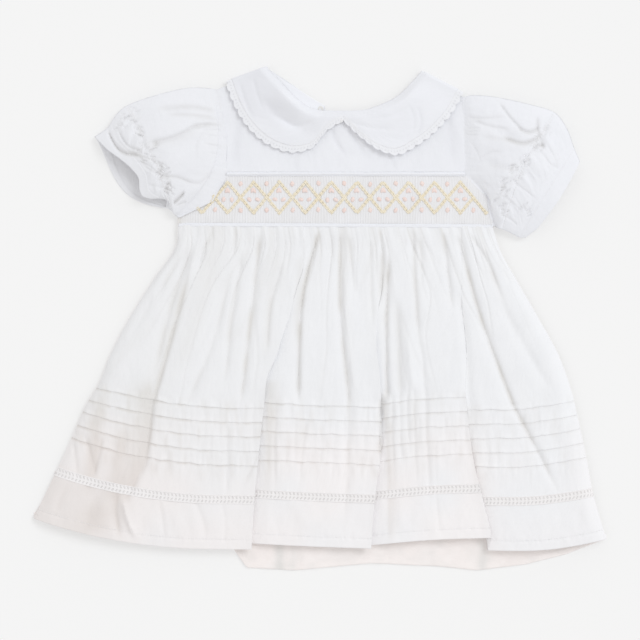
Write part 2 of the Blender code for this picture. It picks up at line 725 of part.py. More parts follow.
def fold_point(column, down):
    """Across, rise and drift of a column at one level."""
    index, share = column
    values = []
    for fold in (SKIRT_FOLDS[index], SKIRT_FOLDS[index + 1]):
        across = through_three(fold[0], fold[1], fold[2], down)
        rise = through_three(fold[3], fold[4], fold[5], down)
        values.append((across, rise, fold[6]))
    (across_a, rise_a, drift_a), (across_b, rise_b, drift_b) = values
    if rise_b > rise_a:
        rounded = math.sin(share * math.pi / 2)
    else:
        rounded = 1.0 - math.cos(share * math.pi / 2)
    across = between(across_a, across_b, share)
    rise = between(rise_a, rise_b, rounded)
    return across, max(LEAST_RISE, rise), between(drift_a, drift_b, share)


def front_row(entry, shift=0.0, raised=0.0):
    """One row of the underside of the front skirt; shift moves it up the dress.

    Near the waist the row eases into the arch of the bodice.
    """
    down = down_skirt(entry[2])
    follow = smooth(down / HEM_FOLLOW)
    row = []
    for column in fold_columns():
        across, rise, drift = fold_point(column, down)
        x = between(entry[0], entry[3], across)
        y = level_y(entry, across) + drift * follow + shift
        ease = 1.0 - smooth(down / WAIST_EASE)
        body = body_rise(x, entry[2]) - BACK_TOP - WAIST_DIP
        rise = between(rise, body, WAIST_FOLLOW * ease)
        row.append((x, y, BACK_TOP + rise + raised))
    return row


def skirt_front(look):
    rows = [front_row(level("waist")), front_row(blend_levels("waist", "gathers", BAND_MIDDLE))]
    for name in ("gathers", "upper", "middle", "lower"):
        rows.append(front_row(level(name)))
    for number in range(1, 6):
        entry = level("tuck_%d" % number)
        rows.append(front_row(entry, TUCK_WIDTH / 2))
        rows.append(front_row(entry, -TUCK_WIDTH / 2 + TUCK_FOLD, TUCK_RISE))
        rows.append(front_row(entry, -TUCK_WIDTH / 2))
    rows.append(front_row(level("insertion"), INSERTION_WIDTH / 2 + HALF_GAP))
    sheet("skirt_front", wall_on(rows, CLOTH), rows, look)


def front_lace(look):
    entry = level("insertion")
    rows = [front_row(entry, INSERTION_WIDTH / 2 - HALF_GAP),
            front_row(entry, -INSERTION_WIDTH / 2 + HALF_GAP)]
    sheet("lace_insertion_front", wall_on(rows, CLOTH), rows, look)


def front_hem(look):
    rows = [front_row(level("insertion"), -INSERTION_WIDTH / 2 - HALF_GAP),
            front_row(blend_levels("insertion", "hem", BAND_MIDDLE)),
            front_row(blend_levels("insertion", "hem", TURN_SHARE)),
            front_row(level("hem"))]
    sheet("hem_band_front", wall_on(rows, CLOTH), rows, look)


def back_row(entry, hem_share, shift=0.0):
    """One row of the back skirt; hem_share carries it down to the uneven back hem."""
    row = []
    for across, hem_y in BACK_HEM:
        x = between(entry[0], entry[3], across)
        y = between(level_y(entry, across), hem_y, hem_share) + shift
        row.append((x, y, 0.0))
    return row


def skirt_back(look, lace_look):
    seam_y = YOKE_BOTTOM - HALF_GAP
    top_left = armhole_at_height(-1, seam_y)[0]
    top_right = armhole_at_height(1, seam_y)[0]
    shoulder = (top_left, seam_y, seam_y, top_right, seam_y)
    knee = armhole(-1, BEND_SHARE) + (BEND_Y,) + armhole(1, BEND_SHARE)
    pit = armhole(-1, 1.0) + (PIT_Y,) + PIT_RIGHT
    rows = [back_row(shoulder, 0.0)]
    for left_x, left_y, mid_y, right_x, right_y in (knee, pit):
        rows.append(back_row((left_x, left_y, mid_y, right_x, right_y), 0.0))
    for name in ("waist", "gathers", "upper", "lower"):
        rows.append(back_row(level(name), 0.0))
    half = INSERTION_WIDTH / 2
    lace_row = blend_levels("insertion", "hem", BACK_LACE_SHARE)
    rows.append(back_row(lace_row, 0.0, half + HALF_GAP))
    sheet("skirt_back", lifted(rows, CLOTH), rows, look)
    rows = [back_row(lace_row, 0.0, half - HALF_GAP),
            back_row(lace_row, 0.0, -half + HALF_GAP)]
    sheet("lace_insertion_back", lifted(rows, CLOTH), rows, lace_look)
    rows = [back_row(lace_row, 0.0, -half - HALF_GAP),
            back_row(blend_levels("insertion", "hem", TURN_SHARE), TURN_SHARE),
            back_row(level("hem"), 1.0)]
    sheet("hem_band_back", lifted(rows, CLOTH), rows, look)


# ---------------------------------------------------------------- sleeves
def hollow_depth(side, along, share):
    """Depth of the puff's hollows at a place; along runs from armhole to shirring."""
    depth = 0.0
    for which, at_seam, at_cuff, deep, half_width in SLEEVE_HOLLOWS:
        if which == side:
            off = abs(share - between(at_seam, at_cuff, along)) / half_width
            swell = math.sin(math.pi * min(1.0, along + HOLLOW_START))
            depth += deep * (1.0 - smooth(off)) * swell
    return max(0.0, depth)


def section_height(entry, share, front, side, along):
    """Height of a sleeve section at one place of its front or under half."""
    rise, edge, gather = entry[7], entry[8], entry[9]
    arch = math.sin(math.pi * min(1.0, max(0.0, share)))
    if front:
        index = min(range(len(RING)), key=lambda k: abs(RING[k] - share))
        inside = FLAT_ENDS < share < 1.0 - FLAT_ENDS
        pleat = gather * (1 if index % 2 else -1) if inside else 0.0
        height = between(edge, rise, max(0.0, arch) ** CROWN_POWER)
        return height + pleat - hollow_depth(side, along, share)
    return edge * (1.0 - max(0.0, arch) ** FLOOR_POWER)


def seam_ring(side):
    """Outer and inner rings of a sleeve at the armhole seam."""
    out_x = side * SEAM_STEP
    outer = []
    inner = []
    for share in RING:
        x, y = armhole(side, share)
        z = body_rise(x, y)
        outer.append((x + out_x, y, z + CLOTH))
        inner.append((x + out_x, y, z + SEAM_THIN))
    for share in UNDER_RING:
        x, y = armhole(side, share)
        outer.append((x + out_x, y, BACK_YOKE_LOW))
        inner.append((x + out_x, y, BACK_YOKE_TOP - SEAM_THIN))
    return outer, inner


def section_ring(entry, side, along):
    """Outer and inner rings of a sleeve at one of its sections."""
    top = np.array(entry[1:3])
    low = np.array(entry[3:5])
    chord = low - top
    length = float(np.linalg.norm(chord))
    unit = chord / length
    outward = np.array((unit[1], -unit[0]))
    if outward[0] * side < 0:
        outward = -outward
    shape = [(share, True) for share in RING] + [(share, False) for share in UNDER_RING]
    flat = []
    bows = []
    for share, front in shape:
        bow = (entry[5] if front else entry[6]) * math.sin(math.pi * share)
        if front:
            bow += entry[10] * math.sin(math.pi * share ** SAG_SKEW)
        bows.append(bow)
        flat.append((share * length, section_height(entry, share, front, side, along)))
    flat = np.array(flat)
    before = np.roll(flat, 1, axis=0)
    after = np.roll(flat, -1, axis=0)
    run = after - before
    inward = np.stack([run[:, 1], -run[:, 0]], axis=1)
    inward /= np.linalg.norm(inward, axis=1)[:, None]
    thin = flat + inward * CLOTH
    tip = len(RING) - 1
    thin[0] = flat[0] + TIP_IN
    thin[tip] = flat[tip] + (-TIP_IN[0], TIP_IN[1])
    rings = []
    for part in (flat, thin):
        ring = []
        for (place, height), bow in zip(part, bows):
            spot = top + unit * place + outward * bow
            ring.append((spot[0], spot[1], height))
        rings.append(ring)
    return rings


def mix_rings(first, second, share):
    return [tuple(between(a, b, share) for a, b in zip(p, q)) for p, q in zip(first, second)]


def sleeve(side, name, cuff_name, table, look):
    outer, inner = seam_ring(side)
    outers = [outer]
    inners = [inner]
    shirring = [entry[0] for entry in table].index("shirring")
    for number, entry in enumerate(table):
        along = min(1.0, (number + 1) / (shirring + 1))
        outer, inner = section_ring(entry, side, along)
        outers.append(outer)
        inners.append(inner)
    seam_outer, seam_inner = outers[-2], inners[-2]
    edge_outer, edge_inner = outers[-1], inners[-1]
    tube(name, outers[:-1], inners[:-1], look)
    shares = (CUFF_START, CUFF_MIDDLE, 1.0)
    cuff_outer = [mix_rings(seam_outer, edge_outer, share) for share in shares]
    cuff_inner = [mix_rings(seam_inner, edge_inner, share) for share in shares]
    tube(cuff_name, cuff_outer, cuff_inner, look)


# ---------------------------------------------------------------- the dress
for old in list(bpy.data.objects):
    bpy.data.objects.remove(old, do_unlink=True)

cotton = {}
for piece in ("yoke", "band", "skirt", "hem", "sleeve", "cuff", "collar", "piping", "back"):
    cotton[piece] = material("cotton_" + piece, COTTON, 0.85)
lace = material("lace", LACE_COTTON, 0.9)
pearl = material("pearl_button", PEARL, 0.35)

skirt_back(cotton["back"], lace)
back_yoke("back_yoke_left", BACK_LEFT_EDGE, -1, BACK_OPENING_LEFT, cotton["back"])
back_yoke("back_yoke_right", BACK_RIGHT_EDGE, 1, BACK_OPENING_RIGHT, cotton["back"])
skirt_front(cotton["skirt"])
front_lace(lace)
front_hem(cotton["hem"])
smocked_band(cotton["band"])
yoke_front(cotton["yoke"])
piping("piping_top", (PIPING_TOP_ENDS[0], PIPING_TOP_Y),
       (PIPING_TOP_ENDS[1], PIPING_TOP_Y), cotton["piping"])
piping("piping_bottom", (PIPING_LOW_ENDS[0], BAND_BOTTOM_LEFT - PIPING_DROP),
       (PIPING_LOW_ENDS[1], BAND_BOTTOM_RIGHT - PIPING_DROP), cotton["piping"])
collar_half("collar_left", "collar_lace_left", COLLAR_LEFT, cotton["collar"], lace)
collar_half("collar_right", "collar_lace_right", COLLAR_RIGHT, cotton["collar"], lace)
neck_binding(cotton["collar"])
back_button(pearl)
sleeve(-1, "sleeve_left", "cuff_left", SLEEVE_LEFT, cotton["sleeve"])
sleeve(1, "sleeve_right", "cuff_right", SLEEVE_RIGHT, cotton["sleeve"])
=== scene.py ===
"""Visual model of a hand-smocked toddler dress lying flat on its back, front up.

Sizes are millimetres in the frame of the CAD part before centring: X to the viewer's
right, Y from hem to shoulders, Z up from the surface. to_world() turns them to metres.
Left and right are the viewer's.
"""
import math

import bpy
import numpy as np
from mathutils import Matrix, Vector


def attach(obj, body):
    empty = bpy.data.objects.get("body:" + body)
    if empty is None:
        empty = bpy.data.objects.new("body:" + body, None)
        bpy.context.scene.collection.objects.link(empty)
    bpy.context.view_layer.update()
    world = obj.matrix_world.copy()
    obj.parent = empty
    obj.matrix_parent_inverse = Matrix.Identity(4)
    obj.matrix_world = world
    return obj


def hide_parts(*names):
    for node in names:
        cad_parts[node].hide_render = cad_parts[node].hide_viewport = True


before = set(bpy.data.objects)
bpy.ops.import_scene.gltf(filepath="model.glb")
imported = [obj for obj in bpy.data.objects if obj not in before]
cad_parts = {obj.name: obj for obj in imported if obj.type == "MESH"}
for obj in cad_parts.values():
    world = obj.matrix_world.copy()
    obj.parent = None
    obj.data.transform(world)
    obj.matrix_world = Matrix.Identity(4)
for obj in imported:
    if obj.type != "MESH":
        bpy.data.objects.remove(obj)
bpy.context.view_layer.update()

MM = 0.001
CENTRE_X = -0.55
CENTRE_Y = 0.585

# Sizes shared with the CAD part.
CLOTH = 1.2                # thickness of the cloth with the air between its layers
BACK_TOP = CLOTH           # upper face of the back skirt
BACK_YOKE_TOP = 2.7
FRONT_CLEAR = 3.0          # height of the underside of the bodice front at its seams
BODY_CROWN = 5.0           # how much higher it is in the middle
SHOULDER_FALL = 26.0       # how far below the shoulder seams it reaches that height
SHOULDERS = ((-93.0, 206.0, 0.365), (89.0, 219.5, -0.51))      # x, y and slope of the seams
YOKE_BOTTOM = 131.5
PIPING_TOP_Y = 130.0
BAND_TOP = 128.5
BAND_BOTTOM_LEFT = 85.4
BAND_BOTTOM_RIGHT = 84.1
PIPING_DROP = 1.5          # how far the lower piping lies below the band's edge
INSERTION_WIDTH = 7.0
TURN_SHARE = 0.8           # place of the hem's stitches between openwork and hem edge

ARMHOLE = (
    # along, left_x, left_y, right_x, right_y
    (0.00, -93, 206, 129, 199),
    (0.20, -88, 181, 129.7, 177),
    (0.42, -84.5, 154, 129.7, 153),
    (0.60, -85.3, 130, 130.5, 130),
    (0.80, -99, 105.5, 151, 110),
    (1.00, -128.5, 91, 156.5, 83),
)
YOKE_EDGE = (
    # x, y
    (-93, 206), (-83, 209.7), (-64, 216.5), (-46, 223), (-41, 214.5),
    (-24, 198), (-8, 187), (6, 185.2), (20, 185), (34, 185.6),
    (48, 188.6), (60, 193.6), (72, 202), (82, 211), (89, 219.5),
    (101, 213), (112, 207.5), (129, 199),
)
BACK_LEFT_EDGE = (
    # x, y
    (-93, 206), (-83, 209.7), (-64, 216.5), (-46, 223.5), (-33, 214.5),
    (-18.5, 205.5), (-7, 198), (4, 191.3),
)
BACK_RIGHT_EDGE = (
    # x, y
    (26, 173.5), (38, 177.5), (50, 183), (62, 190), (73, 198),
    (82, 207), (89, 219.5), (112, 207.5), (129, 199),
)
BACK_OPENING_LEFT = 6.0
BACK_OPENING_RIGHT = 9.0
COLLAR_LEFT = (
    # neck_x, neck_y, edge_x, edge_y: on the yoke, from the front centre to the shoulder
    (21, 187, 21, 178.6),
    (9, 187, 5.6, 169),
    (-1, 187.4, -7.6, 154),
    (-11.5, 191, -24, 150),
    (-22, 199, -45, 156),
    (-32, 209, -65, 173),
    (-40.5, 218, -78, 195),
    (-46.9, 224.6, -83.9, 211.3),
)
COLLAR_LEFT_UNDER = (
    # the same, from the shoulder to the centre back
    (-46.9, 224.6, -83.9, 211.3),
    (-34, 216.5, -79, 185),
    (-18.5, 206, -60, 155),
)
COLLAR_RIGHT = (
    # neck_x, neck_y, edge_x, edge_y
    (20.2, 187, 20.2, 178.4),
    (31, 187, 38, 161.5),
    (41, 188, 53, 151.5),
    (51, 191.2, 68, 147.6),
    (63, 196.4, 86, 156),
    (73, 203.2, 104, 170),
    (81.5, 212, 118, 186),
    (89.6, 220.9, 126.8, 201.7),
)
COLLAR_RIGHT_UNDER = (
    (89.6, 220.9, 126.8, 201.7),
    (83, 209, 123, 178),
    (70, 196.5, 104, 152),
)
SKIRT_LEVELS = (
    # left_x, left_y, mid_y, right_x, right_y, from waist to hem
    (-128.3, 82.3, 81.4, 155, 81),
    (-129, 69, 68, 160, 65.5),
    (-149.5, 36, 33, 176, 35),
    (-172, 0, -5, 196.5, -1),
    (-189.5, -34, -43, 215, -36),
    (-200.5, -60.5, -78, 227.5, -73),
    (-207.5, -71.5, -90.8, 230.3, -85.6),
    (-213, -82.5, -103.6, 233, -98.2),
    (-218, -94, -116.4, 235.7, -110.8),
    (-222.8, -105.5, -129.2, 238.4, -123.4),
    (-237.5, -137, -161.5, 244.8, -156.8),
    (-257.9, -179.2, -205.8, 256.8, -198.6),
)
TUCKS = (-78.0, -90.8, -103.6, -116.4, -129.2)
INSERTION_Y = -161.5
HEM_Y = -205.8
LEFT_RISE_SPAN = 0.30      # parts of the width over which the sides of a level rise
RIGHT_RISE_SPAN = 0.16
BACK_HEM = (
    # across, y
    (0.000, -177), (0.120, -194), (0.240, -201), (0.345, -204), (0.372, -223.5),
    (0.455, -226), (0.590, -219.5), (0.710, -222.5), (0.775, -226), (0.860, -220.5),
    (0.930, -211.5), (1.000, -197.6),
)
SLEEVE_LEFT = (
    # top_x, top_y, low_x, low_y, bow_front, bow_back, rise, edge, sag
    (-101, 207.2, -129.5, 92, -22, -18, 12, 4.6, 0),    # easing
    (-121, 207, -131, 93.4, -11, -4, 18.5, 7, 0),     # puff
    (-150, 200, -132.4, 95, -6, 8, 21.5, 8, 0),       # swell
    (-173.5, 191.5, -133.4, 96.4, -4, 12, 20.5, 7, 1),      # shirring
    (-184, 182.5, -134, 97.4, -3, 14, 20, 7, 5),      # flare
    (-191.3, 171.7, -134.6, 98.2, -1, 15.5, 17.5, 6, 10),     # cuff seam
    (-203, 163.6, -137.4, 99.2, 0, 16.5, 14.5, 5, 15),      # cuff edge
)
SLEEVE_RIGHT = (
    (137.5, 201, 158, 82, -2, -2, 11, 4.6, 0),
    (160, 198.6, 159.2, 81.5, 2, 0, 16.5, 7, 0),
    (190, 191.8, 161, 80.8, 1, -2, 19, 8, 0),
    (210.5, 185, 163.5, 80.2, -6, -8, 18.5, 7, 0),
    (221.5, 170.5, 170.5, 77.2, -2, -5, 18, 7, 0),
    (227.3, 155, 178, 73.4, -1, -5, 15, 5.5, 0),
    (233.1, 141.1, 186, 71, 3, -2, 13.5, 5, 0),
)
SHIRRING_AT = 4.0 / 7.0    # place of the shirring between armhole and cuff edge
CUFF_AT = 6.0 / 7.0
BUTTON_AT = (0.2, 188.6)

# Folds of the skirt.
# Edges of the three panels that lie over their right-hand neighbours: x at each height.
LAPS = (
    # y of a point, x there; one row of points for each lap
    ((44, -15.7), (21.4, -23), (3.4, -27.5), (-14.6, -33.8), (-30, -38.5),
     (-54, -48.2), (-72, -50), (-113, -54.5), (-154, -58.5), (-205, -61.7)),
    ((62, 55.3), (26, 55.3), (5, 51.5), (-19, 50), (-55, 53.6),
     (-91, 54.9), (-109, 55.3), (-127, 53.5), (-168, 48.2), (-206, 45.5)),
    ((8, 127), (-37, 131), (-73, 130), (-96, 131.9), (-118, 134.6),
     (-141, 138.2), (-159, 142.7), (-177, 147.2), (-195, 151.7), (-206, 153)),
)
LAP_RANGE = (
    # y where the lap starts, y where it is full, width hidden under it, rise, foot, foot_width
    (25, -45, 3.2, 1.6, 4.6, 9),
    (15, -60, 3.6, 2.2, 5.6, 13),
    (-45, -150, 3, 1.2, 3.6, 9),
)
# Creases and soft hollows, each through three points from top to bottom.
CREASES = (
    # top_x, top_y, mid_x, mid_y, low_x, low_y, depth, left, right, sharp, fade_top, fade_low
    (-129.2, 51.1, -137.3, 36.7, -145.4, 23.2, 2.6, 5, 4, 0.6, 6, 6),
    (-151.7, 20.5, -158, 5.2, -168.8, -13.7, 1.6, 6, 5, 0.1, 8, 10),
    (-118.4, 56.5, -132.8, 16.9, -147.2, -40.7, 3, 6, 4, 0.4, 6, 14),
    (-120.2, 34.9, -135.5, -23.6, -150.8, -77.6, 3.4, 6.5, 3, 0.8, 14, 2),
    (-150.8, -77.6, -154, -104, -157.1, -128.9, 4, 8, 3, 0.6, 4, 14),
    (-97.7, 78.1, -105.8, 60.1, -109.4, 45.7, 2.2, 3, 3, 0.6, 3, 8),
    (-86.9, 30.4, -95.9, 3.4, -105.8, -20.9, 1.2, 5, 6, 0.1, 10, 10),
    (-82.4, 34.9, -97.7, -23.6, -117.5, -70.4, 2.4, 4.5, 5, 0.5, 12, 10),
    (-71.6, 52.9, -80.6, -5.6, -85.1, -47.9, 2.4, 4, 4, 0.5, 8, 12),
    (-75.6, 79.9, -77, 68, -78.8, 57.4, 1.4, 2.5, 2.5, 0.5, 2, 6),
    (-54.5, 72.7, -60.8, 16.9, -70.7, -68.6, 3.4, 4, 5, 0.8, 8, 10),
    (-35.6, 45.7, -44.6, 14.2, -48.2, -23.6, 2.4, 4, 3, 0.5, 8, 10),
    (-2.3, 75.4, -14, 30.4, -20.3, -71.3, 4.4, 3.5, 2.6, 0.9, 5, 8),
    (17.5, 74.5, 17, 20, 25.7, -75, 3.6, 3.2, 3.6, 0.9, 5, 8),
    (25.7, 72.7, 27.5, 51.1, 29.3, 30.4, 1.8, 2.6, 3, 0.6, 4, 10),
    (9.5, 74.5, 10, 63, 11, 51, 1, 2.2, 2.2, 0.5, 3, 6),
    (45.5, 66.4, 45.4, 34.9, 46.4, -2.9, 1.3, 3, 3, 0.5, 6, 10),
    (53.6, 79.9, 55.4, 43.9, 54.5, 16.9, 2.6, 3, 2.8, 0.8, 4, 12),
    (60.8, 48.4, 59, -10.1, 59.9, -73.1, 4.2, 2.6, 3, 0.9, 10, 4),
    (68, 7.9, 69.8, -37.1, 71.6, -73.1, 3, 6, 4.5, 0.2, 14, 10),
    (74.3, 79, 75, 72, 76.1, 64, 1, 2, 2, 0.5, 2, 5),
    (83.3, 78.1, 85.1, 25.9, 87.8, -17.3, 2.8, 3.2, 3, 0.8, 4, 10),
    (88.7, -23.6, 92.3, -47.9, 93.2, -71.3, 1.5, 4, 3, 0.4, 8, 8),
    (88.7, 70.9, 90.5, 51.1, 90.5, 34.9, 1.6, 2.6, 2.8, 0.6, 4, 8),
    (110.3, 76.3, 113.9, 43.9, 117.5, 9.7, 2.6, 3, 3.2, 0.7, 4, 12),
    (125.6, 16.9, 131, -28.1, 134, -77.6, 2.2, 5, 5, 0.3, 12, 10),
    (123.8, 72.7, 143.6, 3.4, 173.3, -75.8, 4, 4.5, 3.6, 0.9, 5, 2),
    (173.3, -75.8, 189, -106, 206.6, -141.5, 3.6, 4.5, 4, 0.7, 4, 20),
    (135.5, 74.5, 149.9, 51.1, 159.8, 25.9, 2.3, 3.2, 3.2, 0.6, 4, 12),
    (166.1, 7.9, 184.1, -26.3, 203, -58.7, 1.6, 7, 6, 0.1, 16, 12),
    (154.4, 70.9, 161, 53, 168.8, 34.9, 1, 3, 3, 0.4, 5, 8),
    (-39.2, -76, -41, -109, -41, -155, 1.3, 3, 3, 0.4, 8, 14),
    (-13, -96, -16, -120, -19, -146, 1, 2.5, 2.5, 0.7, 6, 8),
    (-83.3, -96, -84.2, -128, -84.2, -155, 1.3, 3.6, 3.6, 0.3, 12, 12),
    (-57, -122, -62, -134, -68, -146, 1.2, 2.2, 2.2, 0.7, 3, 4),
    (24.8, -77, 24.8, -118, 22.1, -172, 2.2, 5, 5, 0.3, 8, 30),
    (53.9, -73, 53.6, -92, 53, -118, 3.2, 1.9, 1.9, 0.9, 5, 14),
    (64.4, -73, 64.4, -104, 66, -150, 1, 2, 2, 0.3, 4, 14),
    (71, -73, 71.6, -100, 72, -128, 0.9, 1.8, 1.8, 0.3, 4, 10),
    (78, -70, 77.9, -96, 80, -124, 0.9, 1.8, 1.8, 0.3, 4, 10),
    (84, -70, 84.2, -100, 86, -150, 1, 2, 2, 0.3, 4, 14),
    (94, -70, 95, -110, 98, -162, 1.5, 3, 3.4, 0.4, 6, 12),
    (104, -166, 105, -182, 107, -200, 0.9, 2.4, 2.4, 0.3, 5, 5),
    (-210, -108, -206, -124, -203, -138, 2.2, 3.2, 3.2, 0.5, 6, 6),
    (-196, -108, -199, -122, -203, -138, 2, 3.4, 3, 0.5, 6, 6),
    (-222, -112, -220, -126, -218, -141, 1.4, 3, 3, 0.4, 5, 8),
    (-157.1, -128.9, -166, -146, -174, -160, 2.8, 8, 4, 0.3, 10, 8),
    (-196, -150, -206, -170, -210, -186, 2.6, 9, 9, 0.1, 8, 10),
    (-183, -158, -184, -175, -181, -192, 3.4, 8, 4, 0.4, 6, 8),
    (-228, -150, -234, -164, -238, -176, 1.2, 5, 5, 0.2, 5, 8),
    (-144.5, -163, -142, -180, -140, -196, 1, 3, 3, 0.3, 5, 8),
    (-112, -164, -106, -180, -103, -194, 1, 3.4, 3.4, 0.3, 5, 6),
    (-88, -166, -86, -184, -86, -198, 0.7, 3, 3, 0.3, 5, 6),
)
# Raised folds of the same kind.
RIDGES = (
    (-176.9, -165, -173.9, -178, -167.9, -193, -3.6, 3, 4.2, 0.7, 5, 6),
    (-109, 72, -118, 40, -127, 14, -1.2, 3, 4, 0.3, 6, 12),
    (-14, 40, -18.5, 0, -17.5, -66, -1.4, 2.4, 7, 0.3, 10, 10),
    (22.5, 30, 24, -20, 30, -60, -1.2, 2.6, 5, 0.3, 10, 10),
    (78.5, -20, 80, -44, 83, -68, -2, 3.6, 6, 0.4, 14, 8),
)

# Broad soft shades beside the folds; the seventh column is the part of the full tint.
SHADES = (
    (-153.5, -60, -156, -112, -172, -160, 0.80, 17, 3, 0.3, 10, 10),
    (-196, -68, -203, -109, -208, -150, 0.60, 8, 8, 0.1, 10, 12),
    (-176, -100, -182, -130, -186, -160, 0.45, 10, 10, 0.1, 10, 10),
    (-194, -165, -200, -178, -205, -192, 0.40, 22, 22, 0, 10, 8),
    (-46, -60, -46, -85, -48, -150, 0.50, 5, 9, 0.1, 3, 40),
    (-17.5, 52, -20, 20, -21, -20, 0.35, 4, 3, 0.2, 8, 14),
    (68, 7, 70, -30, 72, -70, 0.22, 6, 6, 0.1, 12, 8),
    (56, -70, 60, -120, 62, -200, 0.50, 2, 8, 0.3, 6, 10),
    (84, -75, 86, -110, 88, -150, 0.22, 10, 10, 0, 8, 20),
    (-120, 30, -135, -23, -152, -78, 0.35, 11, 3, 0.3, 10, 6),
    (132, -75, 134, -110, 140, -160, 0.25, 2, 9, 0.2, 6, 20),
    (-90, 60, -105, 20, -125, -40, 0.20, 8, 8, 0, 14, 16),
    (-38, 62, -46, 20, -49, -30, 0.25, 5, 5, 0.1, 10, 14),
    (-26, -168, -22, -186, -20, -204, 0.12, 10, 10, 0, 8, 6),
)


# Number helpers.
def smooth(value):
    value = np.clip(value, 0.0, 1.0)
    return value * value * (3.0 - 2.0 * value)


def mix(first, second, share):
    return first + (second - first) * share


def curve(places, values, at):
    """Smooth curve through points whose places rise, held at its ends."""
    places = np.asarray(places, float)
    values = np.asarray(values, float)
    slope = np.gradient(values, places)
    at = np.clip(at, places[0], places[-1])
    i = np.clip(np.searchsorted(places, at) - 1, 0, len(places) - 2)
    step = places[i + 1] - places[i]
    t = (at - places[i]) / step
    near = (1.0 + 2.0 * t) * (1.0 - t) ** 2 * values[i]
    near_slope = t * (1.0 - t) ** 2 * step * slope[i]
    far = t * t * (3.0 - 2.0 * t) * values[i + 1]
    far_slope = t * t * (t - 1.0) * step * slope[i + 1]
    return near + near_slope + far + far_slope


NOISE_SIDE = 256


def noise(x, y, seed):
    """Smooth noise from -1 to 1 with one knot at each whole number."""
    knots = np.random.default_rng(seed).random((NOISE_SIDE, NOISE_SIDE)) * 2.0 - 1.0
    x, y = np.broadcast_arrays(np.asarray(x, float), np.asarray(y, float))
    xi = np.floor(x).astype(int)
    yi = np.floor(y).astype(int)
    fx = smooth(x - xi)
    fy = smooth(y - yi)
    x0, x1 = xi % NOISE_SIDE, (xi + 1) % NOISE_SIDE
    y0, y1 = yi % NOISE_SIDE, (yi + 1) % NOISE_SIDE
    low = mix(knots[x0, y0], knots[x1, y0], fx)
    high = mix(knots[x0, y1], knots[x1, y1], fx)
    return mix(low, high, fy)


def ridged(x, y, seed, width=0.22):
    """Thin lines where smooth noise passes through zero: 1 on a line and 0 off it."""
    return np.exp(-(noise(x, y, seed) / width) ** 2)


def to_world(points):
    points = np.array(points, float)
    points[..., 0] -= CENTRE_X
    points[..., 1] -= CENTRE_Y
    return points * MM


# Mesh helpers.
def make_object(name, points, faces, look, uvs=None, folds=None):
    """Object of quads or triangles from arrays in millimetres, with a map in metres.

    folds holds two numbers for each point, from 0 to 1, for the cloth's tint: painted shade,
    strongest deep in a fold, and painted warm light from the layers below it.
    """
    mesh = bpy.data.meshes.new(name)
    mesh.from_pydata(to_world(points).tolist(), [], np.asarray(faces).tolist())
    mesh.polygons.foreach_set("use_smooth", [True] * len(mesh.polygons))
    if uvs is not None:
        corners = np.empty(len(mesh.loops), np.int32)
        mesh.loops.foreach_get("vertex_index", corners)
        layer = mesh.uv_layers.new(name="cloth")
        layer.data.foreach_set("uv", (np.asarray(uvs, float)[corners] * MM).ravel())
    if folds is not None:
        for k, label in enumerate(("fold", "warm")):
            layer = mesh.attributes.new(label, "FLOAT", "POINT")
            layer.data.foreach_set("value", np.clip(folds.reshape(-1, 2)[:, k], 0.0, 1.0))
    mesh.materials.append(look)
    mesh.update()
    made = bpy.data.objects.new(name, mesh)
    bpy.context.scene.collection.objects.link(made)
    return made


def grid_faces(rows, columns, offset=0, flip=False):
    index = np.arange(rows * columns).reshape(rows, columns) + offset
    quads = np.stack([index[:-1, :-1], index[1:, :-1], index[1:, 1:], index[:-1, 1:]], axis=-1)
    quads = quads.reshape(-1, 4)
    return quads[:, ::-1] if flip else quads


def tints(fold, warm=0.0):
    return np.stack([fold, warm * np.ones_like(fold)], axis=-1)


def arc_map(points):
    """Lengths along the rows and columns of a grid, as its flat pattern would have them."""
    across = np.linalg.norm(np.diff(points, axis=1), axis=2)
    down = np.linalg.norm(np.diff(points, axis=0), axis=2)
    u = np.concatenate([np.zeros((points.shape[0], 1)), np.cumsum(across, axis=1)], axis=1)
    v = np.concatenate([np.zeros((1, points.shape[1])), np.cumsum(down, axis=0)], axis=0)
    return np.stack([u, v], axis=-1)


def single(name, points, look, uvs=None, folds=None):
    """One layer of cloth from a grid of points: rows run down the dress, columns right."""
    rows, columns = points.shape[:2]
    uvs = arc_map(points) if uvs is None else uvs
    return make_object(name, points.reshape(-1, 3), grid_faces(rows, columns), look,
                       uvs.reshape(-1, 2), folds)


def grid_normals(points):
    across = np.gradient(points, axis=1)
    down = np.gradient(points, axis=0)
    normal = np.cross(down, across)
    return normal / np.maximum(np.linalg.norm(normal, axis=2, keepdims=True), 1e-9)


def shell(name, points, thickness, look, folds=None):
    """Closed thin cloth whose upper face is the grid."""
    rows, columns = points.shape[:2]
    count = rows * columns
    lower = points - grid_normals(points) * thickness
    index = np.arange(count).reshape(rows, columns)
    rim = np.concatenate([index[0], index[1:, -1], index[-1, -2::-1], index[-2:0:-1, 0]])
    after = np.roll(rim, -1)
    faces = np.concatenate([grid_faces(rows, columns), grid_faces(rows, columns, count, True),
                            np.stack([rim, after, after + count, rim + count], axis=-1)])
    folds = None if folds is None else np.stack([folds, folds])
    return make_object(name, np.stack([points, lower]).reshape(-1, 3), faces, look,
                       np.tile(arc_map(points).reshape(-1, 2), (2, 1)), folds)


def ring_faces(rings, sides):
    """Quads between rings of points, each ring closed on itself."""
    index = np.arange(rings * sides).reshape(rings, sides)
    after = np.roll(index, -1, axis=1)
    return np.stack([index[:-1], index[1:], after[1:], after[:-1]], axis=-1).reshape(-1, 4)


